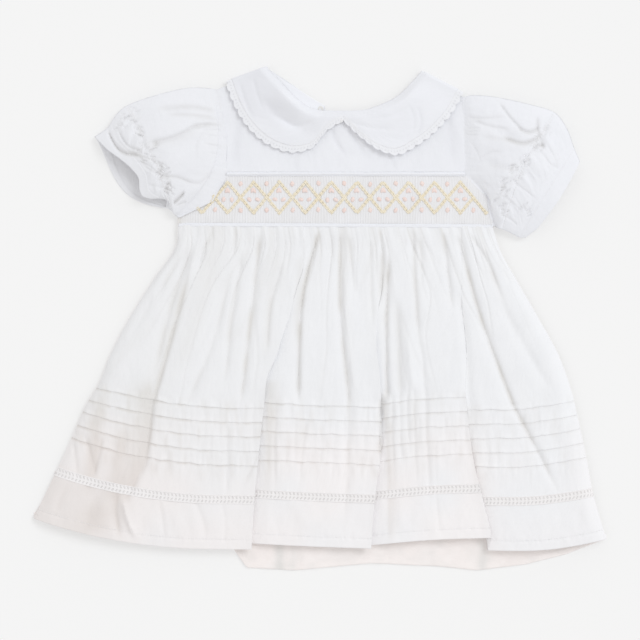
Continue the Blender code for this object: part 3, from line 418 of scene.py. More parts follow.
def tube_along(path, radius, sides):
    """Points and faces of an open tube along a path."""
    tangent = np.gradient(path, axis=0)
    tangent /= np.linalg.norm(tangent, axis=1, keepdims=True)
    side = np.cross(tangent, (0.0, 0.0, 1.0))
    side /= np.maximum(np.linalg.norm(side, axis=1, keepdims=True), 1e-9)
    lift = np.cross(side, tangent)
    turn = (np.arange(sides) * 2.0 * math.pi / sides)[None, :, None]
    ring = (side[:, None] * np.cos(turn) + lift[:, None] * np.sin(turn)) * radius
    return (path[:, None] + ring).reshape(-1, 3), ring_faces(len(path), sides)[:, ::-1]


def with_height(flat, z):
    return np.concatenate([flat, z[..., None]], axis=-1)


def run_along(row):
    """Length along a row of points, at each of them."""
    return np.concatenate([[0.0], np.cumsum(np.linalg.norm(np.diff(row, axis=0), axis=1))])


class Heap:
    """Many small meshes gathered into one object."""

    def __init__(self):
        self.points = []
        self.faces = []
        self.maps = []
        self.count = 0

    def add(self, points, faces, uvs=None):
        self.points.append(points)
        self.faces.append(np.asarray(faces) + self.count)
        self.maps.append(points[:, :2] if uvs is None else uvs)
        self.count += len(points)

    def build(self, name, look):
        return make_object(name, np.concatenate(self.points), np.concatenate(self.faces),
                           look, np.concatenate(self.maps))


def unit_bead(rings=6, sides=8):
    """Rounded bar from -0.5 to 0.5 along X, 1 wide and 1 high."""
    along = -0.5 * np.cos(np.linspace(0.0, math.pi, rings + 1))
    size = 0.5 * np.sqrt(np.maximum(0.0, 1.0 - (np.abs(2.0 * along)) ** 3.0))
    size[0] = size[-1] = 0.02
    turn = np.arange(sides) * 2.0 * math.pi / sides
    points = np.stack([np.repeat(along, sides),
                       (size[:, None] * np.cos(turn)).ravel(),
                       (size[:, None] * np.sin(turn)).ravel()], axis=-1)
    return points, ring_faces(rings + 1, sides)


BEAD_POINTS, BEAD_FACES = unit_bead()


def bead(heap, centre, length, width, height, angle, bend=0.0):
    """Adds a stitch: a rounded bar turned in the plane of the cloth."""
    x, y, z = (BEAD_POINTS * (length, width, height)).T
    y = y + bend * (1.0 - (2.0 * BEAD_POINTS[:, 0]) ** 2)
    cos, sin = math.cos(angle), math.sin(angle)
    heap.add(np.stack([x * cos - y * sin, x * sin + y * cos, z], axis=-1) + centre, BEAD_FACES)


def stitch_row(heap, row, pitch, size, lift, ends=1.0, ahead=0.7):
    """Adds stitches at a pitch along a row of points, clear of its ends."""
    run = run_along(row)
    for place in np.arange(ends, run[-1] - ends, pitch):
        x, y, z = (np.interp(place, run, row[:, k]) for k in range(3))
        next_x, next_y = (np.interp(place + ahead, run, row[:, k]) for k in range(2))
        bead(heap, (x, y, z + lift), *size, math.atan2(next_y - y, next_x - x))


# Materials.
class Nodes:
    """Short calls for the nodes of one material."""

    def __init__(self, name):
        self.material = bpy.data.materials.new(name)
        self.material.use_nodes = True
        self.tree = self.material.node_tree
        self.shader = self.tree.nodes["Principled BSDF"]

    def fill(self, node, inputs):
        """Sets or links inputs, given as pairs of a name or number and a value or socket."""
        for key, value in dict(inputs).items():
            if isinstance(value, bpy.types.NodeSocket):
                self.tree.links.new(value, node.inputs[key])
            else:
                node.inputs[key].default_value = value

    def look(self, inputs):
        self.fill(self.shader, inputs)

    def add(self, kind, inputs=(), **settings):
        node = self.tree.nodes.new(kind)
        for key, value in settings.items():
            setattr(node, key, value)
        self.fill(node, inputs)
        return node

    def math(self, operation, *values):
        return self.add("ShaderNodeMath", enumerate(values), operation=operation).outputs[0]

    def range(self, value, low, high, to_low=0.0, to_high=1.0):
        inputs = {"Value": value, "From Min": low, "From Max": high,
                  "To Min": to_low, "To Max": to_high}
        return self.add("ShaderNodeMapRange", inputs,
                        interpolation_type="SMOOTHSTEP").outputs[0]

    def cloth_uv(self):
        """Place on the cloth in millimetres."""
        uv = self.add("ShaderNodeUVMap", uv_map="cloth").outputs[0]
        return self.add("ShaderNodeVectorMath", {0: uv, "Scale": 1.0 / MM},
                        operation="SCALE").outputs[0]

    def split(self, vector):
        return self.add("ShaderNodeSeparateXYZ", {0: vector}).outputs

    def attribute(self, name):
        return self.add("ShaderNodeAttribute", attribute_name=name).outputs["Fac"]

    def noise(self, vector, scale, stretch=(1.0, 1.0, 1.0), detail=2.0):
        scales = tuple(scale * s for s in stretch)
        mapping = self.add("ShaderNodeMapping", {"Vector": vector, "Scale": scales})
        inputs = {"Vector": mapping.outputs[0], "Scale": 1.0, "Detail": detail}
        return self.add("ShaderNodeTexNoise", inputs, noise_dimensions="3D").outputs["Fac"]

    def tint(self, factor, first, second):
        return self.add("ShaderNodeMix", {0: factor, 6: first, 7: second},
                        data_type="RGBA").outputs[2]

    def bump(self, height, distance, strength, normal=None):
        inputs = {"Height": height, "Distance": distance, "Strength": strength}
        if normal is not None:
            inputs["Normal"] = normal
        return self.add("ShaderNodeBump", inputs).outputs[0]


THREAD_PITCH = 0.42        # one thread of the plain weave, mm
WEAVE_DEPTH = 0.00003
CRINKLE_DEPTH = 0.00022


def weave(nodes, uv, pitch):
    """Height of a plain weave: warp and weft threads that pass over each other."""
    u, v, _ = nodes.split(uv)
    wobble = nodes.noise(uv, 0.35, detail=1.0)
    turn = math.pi / pitch
    warp = nodes.math("SINE", nodes.math("MULTIPLY_ADD", u, turn,
                                         nodes.math("MULTIPLY", wobble, 2.5)))
    return nodes.math("MULTIPLY", warp, nodes.math("SINE", nodes.math("MULTIPLY", v, turn)))


def rgba(colour, share=1.0):
    return tuple(c * share for c in colour) + (1.0,)


PAINTED_GLOW = (1.0, 0.94, 0.88)   # painted glow: light that the cloth gives off itself, standing in for light through the thin cloth
PAINTED_GLOW_SHARE = 0.075
PAINTED_FOLD_SHADE = (0.745, 0.738, 0.728)  # painted shade: colour of the cloth deep in a fold
PAINTED_HEM_FOLD_SHADE = (0.755, 0.708, 0.688)  # the same painted shade at the hem, over the pink inside
PAINTED_COOL_FOLD_SHADE = (0.700, 0.712, 0.765)  # the same painted shade in the cloth of the collar and yoke
# the same painted shade in the sleeves
PAINTED_SLEEVE_FOLD_SHADE = (0.722, 0.724, 0.738)


def cotton(name, light, shade, crinkle=1.0, stretch=(1.0, 0.45, 1.0), warm=None,
           deep=PAINTED_FOLD_SHADE):
    """White cotton lawn: plain weave, slubs, soft crinkles and a faint mottling; painted shade
    in its folds and a faint painted glow.
    """
    nodes = Nodes(name)
    light, shade, shadow = (rgba(colour, 1.0 - PAINTED_GLOW_SHARE) for colour in (light, shade, deep))
    uv = nodes.cloth_uv()
    cloud = nodes.noise(uv, 0.035, detail=3.0)
    slub = nodes.noise(uv, 0.9, stretch=(0.12, 2.2, 1.0))
    mixed = nodes.math("MULTIPLY_ADD", slub, 0.25, nodes.math("MULTIPLY", cloud, 0.85))
    plain = nodes.tint(nodes.range(mixed, 0.30, 0.78), shade, light)
    # painted warm light: the cloth and its painted fold shade turn pinker where the warm
    # attribute is high
    if warm is not None:
        warmth = nodes.attribute("warm")
        plain = nodes.tint(warmth, plain, rgba(warm, 1.0 - PAINTED_GLOW_SHARE))
        shadow = nodes.tint(warmth, shadow, rgba(PAINTED_HEM_FOLD_SHADE, 1.0 - PAINTED_GLOW_SHARE))
    creases = nodes.noise(uv, 0.16, stretch=stretch, detail=4.0)
    normal = nodes.bump(creases, CRINKLE_DEPTH * 4.0 * crinkle, 0.5)
    normal = nodes.bump(weave(nodes, uv, THREAD_PITCH), WEAVE_DEPTH, 0.6, normal)
    # painted glow: the cloth gives off a little light of its own
    nodes.look({"Base Color": nodes.tint(nodes.attribute("fold"), plain, shadow),
                "Emission Color": rgba(PAINTED_GLOW), "Emission Strength": PAINTED_GLOW_SHARE,
                "Normal": nodes.bump(slub, WEAVE_DEPTH * 2.0, 0.5, normal),
                "Roughness": nodes.range(slub, 0.2, 0.8, 0.84, 0.96),
                "Sheen Weight": 0.12, "Sheen Roughness": 0.5, "Specular IOR Level": 0.25})
    return nodes.material


def hole_material(name, light, holes, net):
    """Cotton lace: holes(nodes, u, v) gives 1 on thread and 0 in a hole, where net is left."""
    nodes = Nodes(name)
    uv = nodes.cloth_uv()
    u, v, _ = nodes.split(uv)
    solid = holes(nodes, u, v)
    twist = nodes.noise(uv, 2.2)
    height = nodes.math("MULTIPLY_ADD", twist, 0.3, solid)
    nodes.look({"Base Color": nodes.tint(twist, rgba(light, 0.94), rgba(light)),
                "Normal": nodes.bump(height, 0.0003, 0.6),
                "Alpha": nodes.range(solid, 0.35, 0.65, net, 1.0),
                "Roughness": 0.92, "Sheen Weight": 0.1})
    return nodes.material


def off_middle(nodes, value):
    """Distance of the fraction of a value from one half."""
    return nodes.math("ABSOLUTE", nodes.math("SUBTRACT", nodes.math("FRACT", value), 0.5))


def oval(nodes, across, along):
    """Distance from the middle of an oval whose edge is at 1."""
    squares = [nodes.math("POWER", part, 2.0) for part in (across, along)]
    return nodes.math("SQRT", nodes.math("ADD", *squares))


INSERTION_PITCH = 3.4      # from one slot of the openwork to the next


def insertion_holes(nodes, u, v):
    """Two rows of slanted slots between three corded rails; v is 0 to INSERTION_WIDTH."""
    row = nodes.math("DIVIDE", v, INSERTION_WIDTH / 2.0)
    upper = nodes.math("SUBTRACT", nodes.math("MULTIPLY", nodes.math("FLOOR", row), 2.0), 1.0)
    slant = nodes.math("MULTIPLY", nodes.math("SUBTRACT", nodes.math("FRACT", row), 0.5), upper)
    place = nodes.math("ADD", nodes.math("DIVIDE", u, INSERTION_PITCH),
                       nodes.math("MULTIPLY", slant, 0.42))
    slot = oval(nodes, nodes.math("DIVIDE", off_middle(nodes, place), 0.25),
                nodes.math("DIVIDE", off_middle(nodes, row), 0.36))
    return nodes.range(slot, 0.85, 1.1)


SCALLOP = 8.6              # one scallop of the collar lace
EYELET_PITCH = SCALLOP / 3.0


def edging_holes(nodes, u, v):
    """Three small eyelets in each scallop; v is measured from the collar's cloth."""
    place = nodes.math("ADD", nodes.math("DIVIDE", u, EYELET_PITCH), 0.5)
    across = nodes.math("MULTIPLY", off_middle(nodes, place), EYELET_PITCH / 0.62)
    along = nodes.math("DIVIDE", nodes.math("SUBTRACT", v, 4.1), 0.75)
    return nodes.range(oval(nodes, across, along), 0.8, 1.2)


def thread_material(name, light, dark):
    """Stranded embroidery thread: a fine twist along each stitch."""
    nodes = Nodes(name)
    uv = nodes.cloth_uv()
    strand = nodes.noise(uv, 3.0, stretch=(1.0, 2.0, 1.0))
    shade = nodes.noise(uv, 0.08, detail=1.0)
    factor = nodes.math("MULTIPLY_ADD", strand, 0.6, nodes.math("MULTIPLY", shade, 0.4))
    nodes.look({"Base Color": nodes.tint(nodes.range(factor, 0.3, 0.7), rgba(dark), rgba(light)),
                "Normal": nodes.bump(strand, 0.00015, 0.7),
                "Roughness": 0.55, "Sheen Weight": 0.15})
    return nodes.material


def pearl_material():
    nodes = Nodes("pearl")
    place = nodes.add("ShaderNodeTexCoord").outputs["Object"]
    swirl = nodes.noise(place, 700.0, detail=3.0)
    nodes.look({"Base Color": nodes.tint(swirl, rgba((0.74, 0.73, 0.70)),
                                         rgba((0.86, 0.85, 0.83))),
                "Roughness": nodes.range(swirl, 0.3, 0.7, 0.22, 0.36), "Coat Weight": 0.3})
    return nodes.material


# The light and the shade of each white.
WHITE = (0.862, 0.878, 0.926), (0.838, 0.855, 0.904)
SKIRT_WHITE = (0.880, 0.893, 0.922), (0.858, 0.872, 0.902)
# painted light: lighter than the other whites, so that the back stays bright in the shade of the
# front hem
BACK_WHITE = (0.950, 0.905, 0.895), (0.920, 0.865, 0.850)
# painted warm light: the colour that the warm attribute mixes into the lower skirt and hem
HEM_LIGHT = (0.910, 0.889, 0.900)
LACE_LIGHT = (0.912, 0.893, 0.896)

body_cotton = cotton("cotton_lawn_body", *WHITE)
skirt_cotton = cotton("cotton_lawn_skirt", *SKIRT_WHITE, 1.2, (1.6, 0.35, 1.0), HEM_LIGHT)
hem_cotton = cotton("cotton_lawn_hem", *SKIRT_WHITE, 1.3, (1.2, 0.6, 1.0), HEM_LIGHT)
back_cotton = cotton("cotton_lawn_back", *BACK_WHITE)
hem_back_cotton = cotton("cotton_lawn_hem_back", *BACK_WHITE, 1.2, (1.0, 0.8, 1.0))
sleeve_cotton = cotton("cotton_lawn_sleeve", *WHITE, 1.2, (0.6, 1.2, 1.0), deep=PAINTED_SLEEVE_FOLD_SHADE)
collar_cotton = cotton("cotton_lawn_collar", *WHITE, 0.9, (0.8, 0.8, 1.0), deep=PAINTED_COOL_FOLD_SHADE)
yoke_cotton = cotton("cotton_lawn_yoke", *WHITE, deep=PAINTED_COOL_FOLD_SHADE)
band_cotton = cotton("cotton_lawn_band", (0.850, 0.858, 0.895), (0.825, 0.832, 0.868))
stitch_cotton = thread_material("white_thread", LACE_LIGHT, (0.84, 0.845, 0.86))
rail_cotton = cotton("cotton_rails", (0.905, 0.890, 0.898), (0.875, 0.860, 0.868), 0.3)
edging_lace = hole_material("cotton_edging_lace", (0.880, 0.888, 0.922), edging_holes, 0.93)
insertion_lace = hole_material("cotton_insertion_lace", LACE_LIGHT, insertion_holes, 0.80)
gold_thread = thread_material("gold_thread", (0.895, 0.835, 0.70), (0.865, 0.775, 0.59))
rose_thread = thread_material("rose_thread", (0.92, 0.79, 0.75), (0.885, 0.705, 0.655))
pearl = pearl_material()


# Shape of the bodice.
def armhole(side, share):
    """x and y of an armhole, from the shoulder (0) to its low end (1)."""
    table = np.array(ARMHOLE)
    first = 1 if side < 0 else 3
    return [np.interp(share, table[:, 0], table[:, k]) for k in (first, first + 1)]


def armhole_x(side, y):
    table = np.array(ARMHOLE)[::-1]
    first = 1 if side < 0 else 3
    return np.interp(y, table[:, first + 1], table[:, first])


def body_rise(x, y):
    """Height of the underside of the bodice front over a place, as in the CAD."""
    left = armhole_x(-1, y)
    right = armhole_x(1, y)
    across = 2.0 * (x - left) / (right - left) - 1.0
    dome = np.maximum(0.0, 1.0 - np.abs(across) ** 3)
    shoulder = np.minimum(*(seam_y + slope * (x - seam_x)
                            for seam_x, seam_y, slope in SHOULDERS))
    fall = smooth((shoulder - y) / SHOULDER_FALL)
    return FRONT_CLEAR + BODY_CROWN * dome * fall


# Shape of the skirt.
def outline(middle):
    """left_x, left_y, right_x, right_y of the skirt at a level, given by its middle y."""
    table = np.array(SKIRT_LEVELS)
    down = -table[:, 2]
    return [curve(down, table[:, k], -np.asarray(middle, float)) for k in (0, 1, 3, 4)]


def level_y(middle, across):
    above = np.maximum(0.0, middle - SKIRT_LEVELS[0][2])
    middle = middle - above
    _, left_y, _, right_y = outline(middle)
    from_left = (1.0 - np.minimum(1.0, across / LEFT_RISE_SPAN)) ** 2
    from_right = (1.0 - np.minimum(1.0, (1.0 - across) / RIGHT_RISE_SPAN)) ** 2
    return (middle + above + (left_y - middle) * from_left
            + (right_y - middle) * from_right)


def lap_x(number, y):
    points = np.array(LAPS[number])
    return curve(-points[:, 0], points[:, 1], -y)


def lap_share(number, y):
    """How far a lap has opened at a height: 0 above it and 1 where it is full."""
    start, full = LAP_RANGE[number][:2]
    return smooth((start - y) / (start - full))


PANEL_DRIFT = (
    # how far the hem is pulled up at the left edge, middle and right edge of each panel
    (0, 0, -1),
    (4.5, 1.8, 0),
    (2.5, 7.5, 9.5),
    (-2, -2, 1),
)
HEM_FOLLOW = 0.55          # part of the skirt over which that pull sets in

CREASE_NARROW = 0.80       # share of a table's widths at which its creases are drawn
CREASE_REACH = 6.0         # widths beyond which a crease has run out
CREASE_MARGIN = 10.0


def crease_sum(x, y, table):
    """Depth of all creases of a table at each place."""
    total = np.zeros_like(x)
    for (top_x, top_y, mid_x, mid_y, low_x, low_y, depth, left, right, sharp,
         fade_top, fade_low) in table:
        left, right = left * CREASE_NARROW, right * CREASE_NARROW
        reach = CREASE_REACH * max(left, right) + CREASE_MARGIN
        near = ((y < top_y + 3.0 * fade_top) & (y > low_y - 3.0 * fade_low)
                & (x > min(top_x, mid_x, low_x) - reach)
                & (x < max(top_x, mid_x, low_x) + reach))
        if not near.any():
            continue
        place = -y[near]
        slope_top = (mid_x - top_x) / (top_y - mid_y)
        slope_low = (low_x - mid_x) / (mid_y - low_y)
        line = curve((-top_y, -mid_y, -low_y), (top_x, mid_x, low_x), place)
        line = line + slope_top * np.minimum(0.0, place + top_y)
        line = line + slope_low * np.maximum(0.0, place + low_y)
        off = x[near] - line
        off = np.abs(off) / np.where(off < 0.0, left, right)
        strength = smooth((top_y + fade_top + place) / (2.0 * fade_top))
        strength = strength * smooth((fade_low - place - low_y) / (2.0 * fade_low))
        total[near] += depth * strength * mix(np.exp(-off ** 2), np.exp(-off), sharp)
    return total


LINE_WIDTH = 2.2           # width of the painted shade line along the bottom of a fold, mm
LINE_DEPTH = 4.2           # depth of fold at which its line has the full tint


def line_table(table):
    """The same folds as thin lines of painted shade, whose strength follows their depth and
    sharpness.
    """
    thin = LINE_WIDTH / CREASE_NARROW
    return [tuple(row[:6]) + (max(0.0, row[6]) / LINE_DEPTH * min(1.0, row[9] * 1.4),
                              thin, thin, 0.0) + tuple(row[10:])
            for row in table]


def turned_table(table):
    return [(row[1], -row[0], row[3], -row[2], row[5], -row[4]) + tuple(row[6:])
            for row in table]


def fold_sum(x, y, table):
    """Depth of folds whose points run from left to right."""
    return crease_sum(y, -x, turned_table(table))


def crease_lines(x, y, table):
    return crease_sum(x, y, line_table(table))


def fold_lines(x, y, table):
    return crease_sum(y, -x, turned_table(line_table(table)))


WAIST_Y = 81.4
SKIRT_CREST = 9.0          # height of the front skirt's underside on its crests
SKIRT_LOWEST = 1.9
LOWEST_EASE = 0.6
EDGE_ROUND_LEFT = 17.0
EDGE_ROUND_RIGHT = 13.0
EDGE_ROUND_TOP = 6.0       # the same at the waist
GATHERS = (
    # folds across, folds down, seed, height, how far down they reach
    (84.0, 6.0, 3, 0.40, 0.08), (40.0, 4.0, 5, 0.60, 0.20), (21.0, 4.0, 7, 0.45, 0.90),
)
PLEATS = (
    # folds across, folds down, seed; width, depth and reach of the fold; the same of its painted
    # shade
    (46.0, 3.0, 27, 0.12, 1.1, 0.13, 0.12, 0.30, 0.13),
    (24.0, 1.6, 29, 0.07, 0.9, 0.55, 0.09, 0.25, 0.40),
    (74.0, 5.0, 31, 0.12, 0.6, 0.09, 0.14, 0.24, 0.08),
)


def down_share(middle):
    """How far down the skirt a level is: 0 at the waist and 1 at the hem."""
    return (WAIST_Y - middle) / (WAIST_Y - HEM_Y)


def gather_sway(across, down):
    return 0.5 * noise(across * 12.0, down * 5.0, 9)


def pleat_sum(across, down, first):
    """Sum of the thin pleats under the smocking; first is the column of their width."""
    sway = gather_sway(across, down)
    total = 0.0
    for row in PLEATS:
        width, depth, reach = row[first:first + 3]
        line = ridged(across * row[0] + sway, down * row[1], row[2], width)
        total = total + depth * line * np.exp(-down / reach)
    return total


def rounded(distance, width):
    """Rise from an edge: 0 on it, and 1 from the width inwards."""
    return np.sqrt(1.0 - (1.0 - np.clip(distance / width, 0.0, 1.0)) ** 2)


def skirt_height(x, y, across, middle, panel):
    """Height of the front skirt; panel says which side of each lap a point is on."""
    down = down_share(middle)
    left_x, _, right_x, _ = outline(middle)
    crest = mix(7.6, SKIRT_CREST, smooth(down / 0.35))
    crest = crest + noise(across * 9.0 + 3.0, down * 2.2, 11) - 0.8 * smooth(down - 0.5)
    z = crest
    for distance, width in ((x - left_x, EDGE_ROUND_LEFT), (right_x - x, EDGE_ROUND_RIGHT)):
        z = z * rounded(distance, mix(EDGE_ROUND_TOP, width, smooth(down * 3.0)))
    z = z - crease_sum(x, y, CREASES + RIDGES)
    # gathers under the smocking, which run together lower down
    for folds, rows, seed, height, reach in GATHERS:
        z = z + height * noise(across * folds, down * rows, seed) * np.exp(-down / reach)
    z = z - pleat_sum(across, down, 3)
    # puckers between the tucks
    z = z + tuck_zone(middle) * (0.30 * noise(x / 2.6, middle / 12.8, 13)
                                 + 0.42 * noise(x / 5.5, middle / 22.0, 17))
    z = z + 0.22 * noise(x / 9.0, y / 16.0, 19) + 0.10 * noise(x / 3.4, y / 6.0, 23)
    for number, (_, _, hidden, rise, foot, foot_width) in enumerate(LAP_RANGE):
        off = x - lap_x(number, y)
        lift = np.where(off < 30.0, rise * np.exp(-np.abs(off) / 9.0), 0.0)
        sunk = foot * np.exp(-np.maximum(off + hidden, 0.0) / foot_width)
        z = z + lap_share(number, y) * np.where(panel <= number, lift, -sunk)
    return SKIRT_LOWEST + LOWEST_EASE * np.logaddexp(0.0, (z - SKIRT_LOWEST) / LOWEST_EASE)


FOLD_COLUMNS = 6           # columns that turn under at each lap
PANEL_COLUMNS = (190, 104, 84, 116)


def panel_columns():
    """Panel of each column, its place in the panel, and how far it is into a lap's fold."""
    columns = []
    for panel, count in enumerate(PANEL_COLUMNS):
        columns += [(panel, k / (count - 1.0), 0.0) for k in range(count)]
        if panel < len(LAPS):
            columns += [(panel, 1.0, k / FOLD_COLUMNS) for k in range(1, FOLD_COLUMNS)]
    return np.array(columns).T


TUCK_FOLD = 3.2            # how wide each pintuck lies, mm
TUCK_RISE = 0.75
TUCK_LENGTH = TUCK_FOLD * 1.4
TUCK_EDGES = tuple(tuck - TUCK_FOLD / 2.0 for tuck in TUCKS)


def tuck_profile(middle):
    """Extra height of the tucks at a level."""
    lift = np.zeros_like(middle)
    for edge in TUCK_EDGES:
        off = middle - edge
        fall = (1.0 - smooth(off / TUCK_LENGTH)) ** 0.8
        body = np.minimum(1.0, 0.55 + np.clip(off / TUCK_FOLD, 0.0, 1.0) * 3.0)
        lift = np.where((off >= 0.0) & (off <= TUCK_LENGTH), TUCK_RISE * fall * body, lift)
    return lift


def tuck_zone(middle):
    """1 among the tucks and 0 away from them."""
    return smooth((-70.0 - middle) / 8.0) * smooth((middle + 150.0) / 14.0)


def skirt_rows(first, last, step):
    """Levels of the rows, closer together at the edge of each tuck."""
    levels = list(np.arange(first, last, -step)) + [last]
    for edge in TUCK_EDGES:
        levels = [m for m in levels if not edge - 1.2 < m < edge + 1.6]
        levels += [edge + d for d in (1.5, 0.7, 0.25, 0.0, -0.02, -0.5, -1.1)]
    return np.array(sorted(levels, reverse=True))


TUCK_SHADE = 0.85           # painted shade under the tucks
LOWER_LEFT_SHADE = 0.12           # painted shade of the lower left
HEM_CORNER_SHADE = 0.32         # painted shade of the left corner of the hem
LEFT_SIDE_SHADE = 0.18           # painted shade of the left part


def skirt_folds(x, y, across, middle):
    """Painted shade of the front skirt along its folds, gathers and tucks and over its left
    side, and its painted warm light.
    """
    down = down_share(middle)
    tint = crease_lines(x, y, CREASES) * (0.58 + 0.50 * noise(x / 9.0, y / 13.0, 61))
    tint = tint + pleat_sum(across, down, 6)
    streak = np.maximum(0.0, noise(across * 34.0 + gather_sway(across, down), down * 1.5, 63))
    tint = tint + 0.26 * streak * np.exp(-down / 0.35) + crease_sum(x, y, SHADES)
    strength = 1.0 - 0.6 * across + 0.4 * (1.0 - smooth((across - 0.10) / 0.12))
    for tuck, edge in zip(TUCKS, TUCK_EDGES):
        under = np.exp(-((middle - edge + 0.7) / 0.9) ** 2)
        worn = 0.55 + 0.55 * noise(x / 6.0, tuck, 33) + 0.25 * noise(x / 2.2, tuck, 35)
        tint = tint + TUCK_SHADE * under * np.clip(worn, 0.0, 1.0) * strength
    pucker = noise(x / 4.2, middle / 12.8, 45) * (1.0 - 0.5 * across)
    tint = tint + 0.38 * tuck_zone(middle) * np.maximum(0.0, pucker)
    tint = tint + LEFT_SIDE_SHADE * (1.0 - smooth((across - 0.05) / 0.55))
    # painted shade: the lower left is darker
    lower = smooth((-40.0 - middle) / 70.0)
    tint = tint + LOWER_LEFT_SHADE * lower * (1.0 - smooth((across - 0.02) / 0.45))
    corner = smooth((-150.0 - middle) / 25.0) * (1.0 - smooth((across - 0.06) / 0.14))
    tint = tint + HEM_CORNER_SHADE * corner
    warm = smooth((-62.0 - middle) / 84.0) * (1.0 - 0.65 * smooth((across - 0.76) / 0.08))
    warm = warm * (0.72 + 0.60 * noise(across * 14.0, middle / 40.0, 43)) + 1.6 * corner
    return tints(tint, warm)


def skirt_surface(levels):
    """Points of the front skirt at the levels, and their tint."""
    panel, place, turn = panel_columns()
    middle = levels[:, None]
    left_x, _, right_x, _ = outline(middle)
    # x of the panels' edges at each row; y there follows from the level's curve
    starts, ends, hidden = [left_x], [], []
    for number, lap in enumerate(LAP_RANGE):
        x = lap_x(number, middle)
        for _ in range(3):
            x = lap_x(number, level_y(middle, (x - left_x) / (right_x - left_x)))
        hidden.append(lap[2] * lap_share(number, middle))
        starts.append(x - hidden[-1])
        ends.append(x)
    ends.append(right_x)
    x = np.zeros((len(levels), len(panel)))
    drift = np.zeros_like(x)
    for number, pull in enumerate(PANEL_DRIFT):
        x = np.where(panel == number, mix(starts[number], ends[number], place), x)
        drift = np.where(panel == number, curve((0.0, 0.5, 1.0), pull, place), drift)
    across = (x - left_x) / (right_x - left_x)
    y = level_y(middle, across)
    tall = middle * np.ones_like(x)
    z = skirt_height(x, y, across, tall, panel)
    tint = skirt_folds(x, y, across, tall)
    # fold of each lap: from the edge of the upper panel round to the foot of the lower one
    for number, width in enumerate(hidden):
        fold = np.where((panel == number) & (turn > 0.0))[0]
        for column in fold:
            t = turn[column]
            for grid, share in ((x, smooth(t)), (y, t), (z, t), (drift, smooth(t))):
                grid[:, column] = mix(grid[:, fold[0] - 1], grid[:, fold[-1] + 1], share)
            x[:, column] += 0.5 * np.sin(math.pi * t) * np.minimum(1.0, width[:, 0])
    down = down_share(middle)
    y = y + drift * smooth(down / HEM_FOLLOW)
    y = y + tuck_zone(middle) * (0.55 * noise(x / 9.0, middle / 26.0, 47)
                                 + 0.25 * noise(x / 3.2, middle / 26.0, 49))
    z = z + tuck_profile(middle) * (0.85 + 0.45 * noise(x / 11.0, middle / 12.8, 37))
    # at the waist it lies on the bodice
    waist = body_rise(x, tall) + 1.2 + 0.6 * noise(across * 84.0, 0.0, 3)
    z = mix(z, waist, 0.85 * (1.0 - smooth(down / 0.07)))
    return np.stack([x, y, BACK_TOP + z], axis=-1), tint


def skirt_row(level):
    return skirt_surface(np.array([level]))[0][0]


def cloth_map(points, levels):
    """Map of the skirt: along each row at the hem's scale, and down by level."""
    place = arc_map(points)
    u = place[..., 0] - place[:, points.shape[1] // 2, None, 0]
    v = np.broadcast_to(-levels[:, None], u.shape)
    return np.stack([u, v], axis=-1)


# Pieces of the skirt.
LACE_TOP = INSERTION_Y + INSERTION_WIDTH / 2.0
LACE_LOW = INSERTION_Y - INSERTION_WIDTH / 2.0


def build_skirt_front():
    levels = skirt_rows(83.4, LACE_TOP + 0.1, 1.5)
    points, tint = skirt_surface(levels)
    return single("skirt_front_cloth", points, skirt_cotton, cloth_map(points, levels), tint)


def build_front_lace():
    levels = np.linspace(LACE_TOP, LACE_LOW, 8)
    points = skirt_surface(levels)[0]
    points[..., 2] += 0.25
    uvs = cloth_map(points, levels)
    uvs[..., 1] += LACE_TOP
    return single("lace_insertion_front_cloth", points, insertion_lace, uvs)


RAIL_RADIUS = 0.45


def build_front_rails():
    """Corded edges of the openwork strip."""
    heap = Heap()
    for level in (LACE_TOP + 0.1, LACE_LOW - 0.1):
        heap.add(*tube_along(skirt_row(level) + (0.0, 0.0, 0.3), RAIL_RADIUS, 6))
    return heap.build("lace_insertion_rails", rail_cotton)


HEM_ROLL = 0.8             # thickness of the turned hem edge
HEM_STITCH_Y = mix(INSERTION_Y, HEM_Y, TURN_SHARE)


def build_hem_front():
    levels = np.append(np.arange(LACE_LOW - 0.1, HEM_Y, -1.6), HEM_Y)
    points, tint = skirt_surface(levels)
    x, y = points[..., 0], points[..., 1]
    off = (HEM_STITCH_Y - levels)[:, None]
    pucker = noise(x / 2.4, levels[:, None] / 3.0, 31) * np.exp(-np.abs(off) / 4.0)
    points[..., 2] += 0.45 * smooth(off / 0.8) - 0.35 * np.exp(-(off / 0.7) ** 2)
    points[..., 2] += 0.30 * pucker + 0.45 * noise(x / 8.0, y / 15.0, 53)
    # the edge rolls under and runs back inside
    rolls = [points[-1] - (0.0, 0.35 * math.sin(turn * math.pi), HEM_ROLL * turn)
             for turn in (0.35, 0.7, 1.0)]
    rolls.append(points[-1] + (0.0, 4.0, -HEM_ROLL))
    points = np.concatenate([points, rolls])
    tint = np.concatenate([tint, np.repeat(tint[-1:], len(rolls), axis=0)])
    return single("hem_band_front_cloth", points, hem_cotton, None, tint)


def build_hem_stitches():
    """Row of small running stitches that holds the turned-up hem."""
    heap = Heap()
    stitch_row(heap, skirt_row(HEM_STITCH_Y), 2.6, (1.7, 0.4, 0.35), 0.15, 1.5, 1.0)
    return heap.build("hem_stitches", stitch_cotton)


BACK_COLUMNS = 220


def back_grid(level, hem_share=0.0):
    """x and y of the back skirt at a level; hem_share carries it to the uneven hem."""
    across = np.linspace(0.0, 1.0, BACK_COLUMNS)
    left_x, _, right_x, _ = outline(level)
    hem_y = np.interp(across, *np.array(BACK_HEM).T)
    y = mix(level_y(level, across), hem_y, hem_share)
    return np.stack([mix(left_x, right_x, across), y], axis=-1)


BACK_CREASES = (
    # x, y, depth, width: hollows of the back hem where it shows under the front hem
    (-36, -214, 1.8, 5),
    (-22, -213, 1.2, 4),
    (60, -214, 1, 5),
    (98, -214, 1, 4),
)

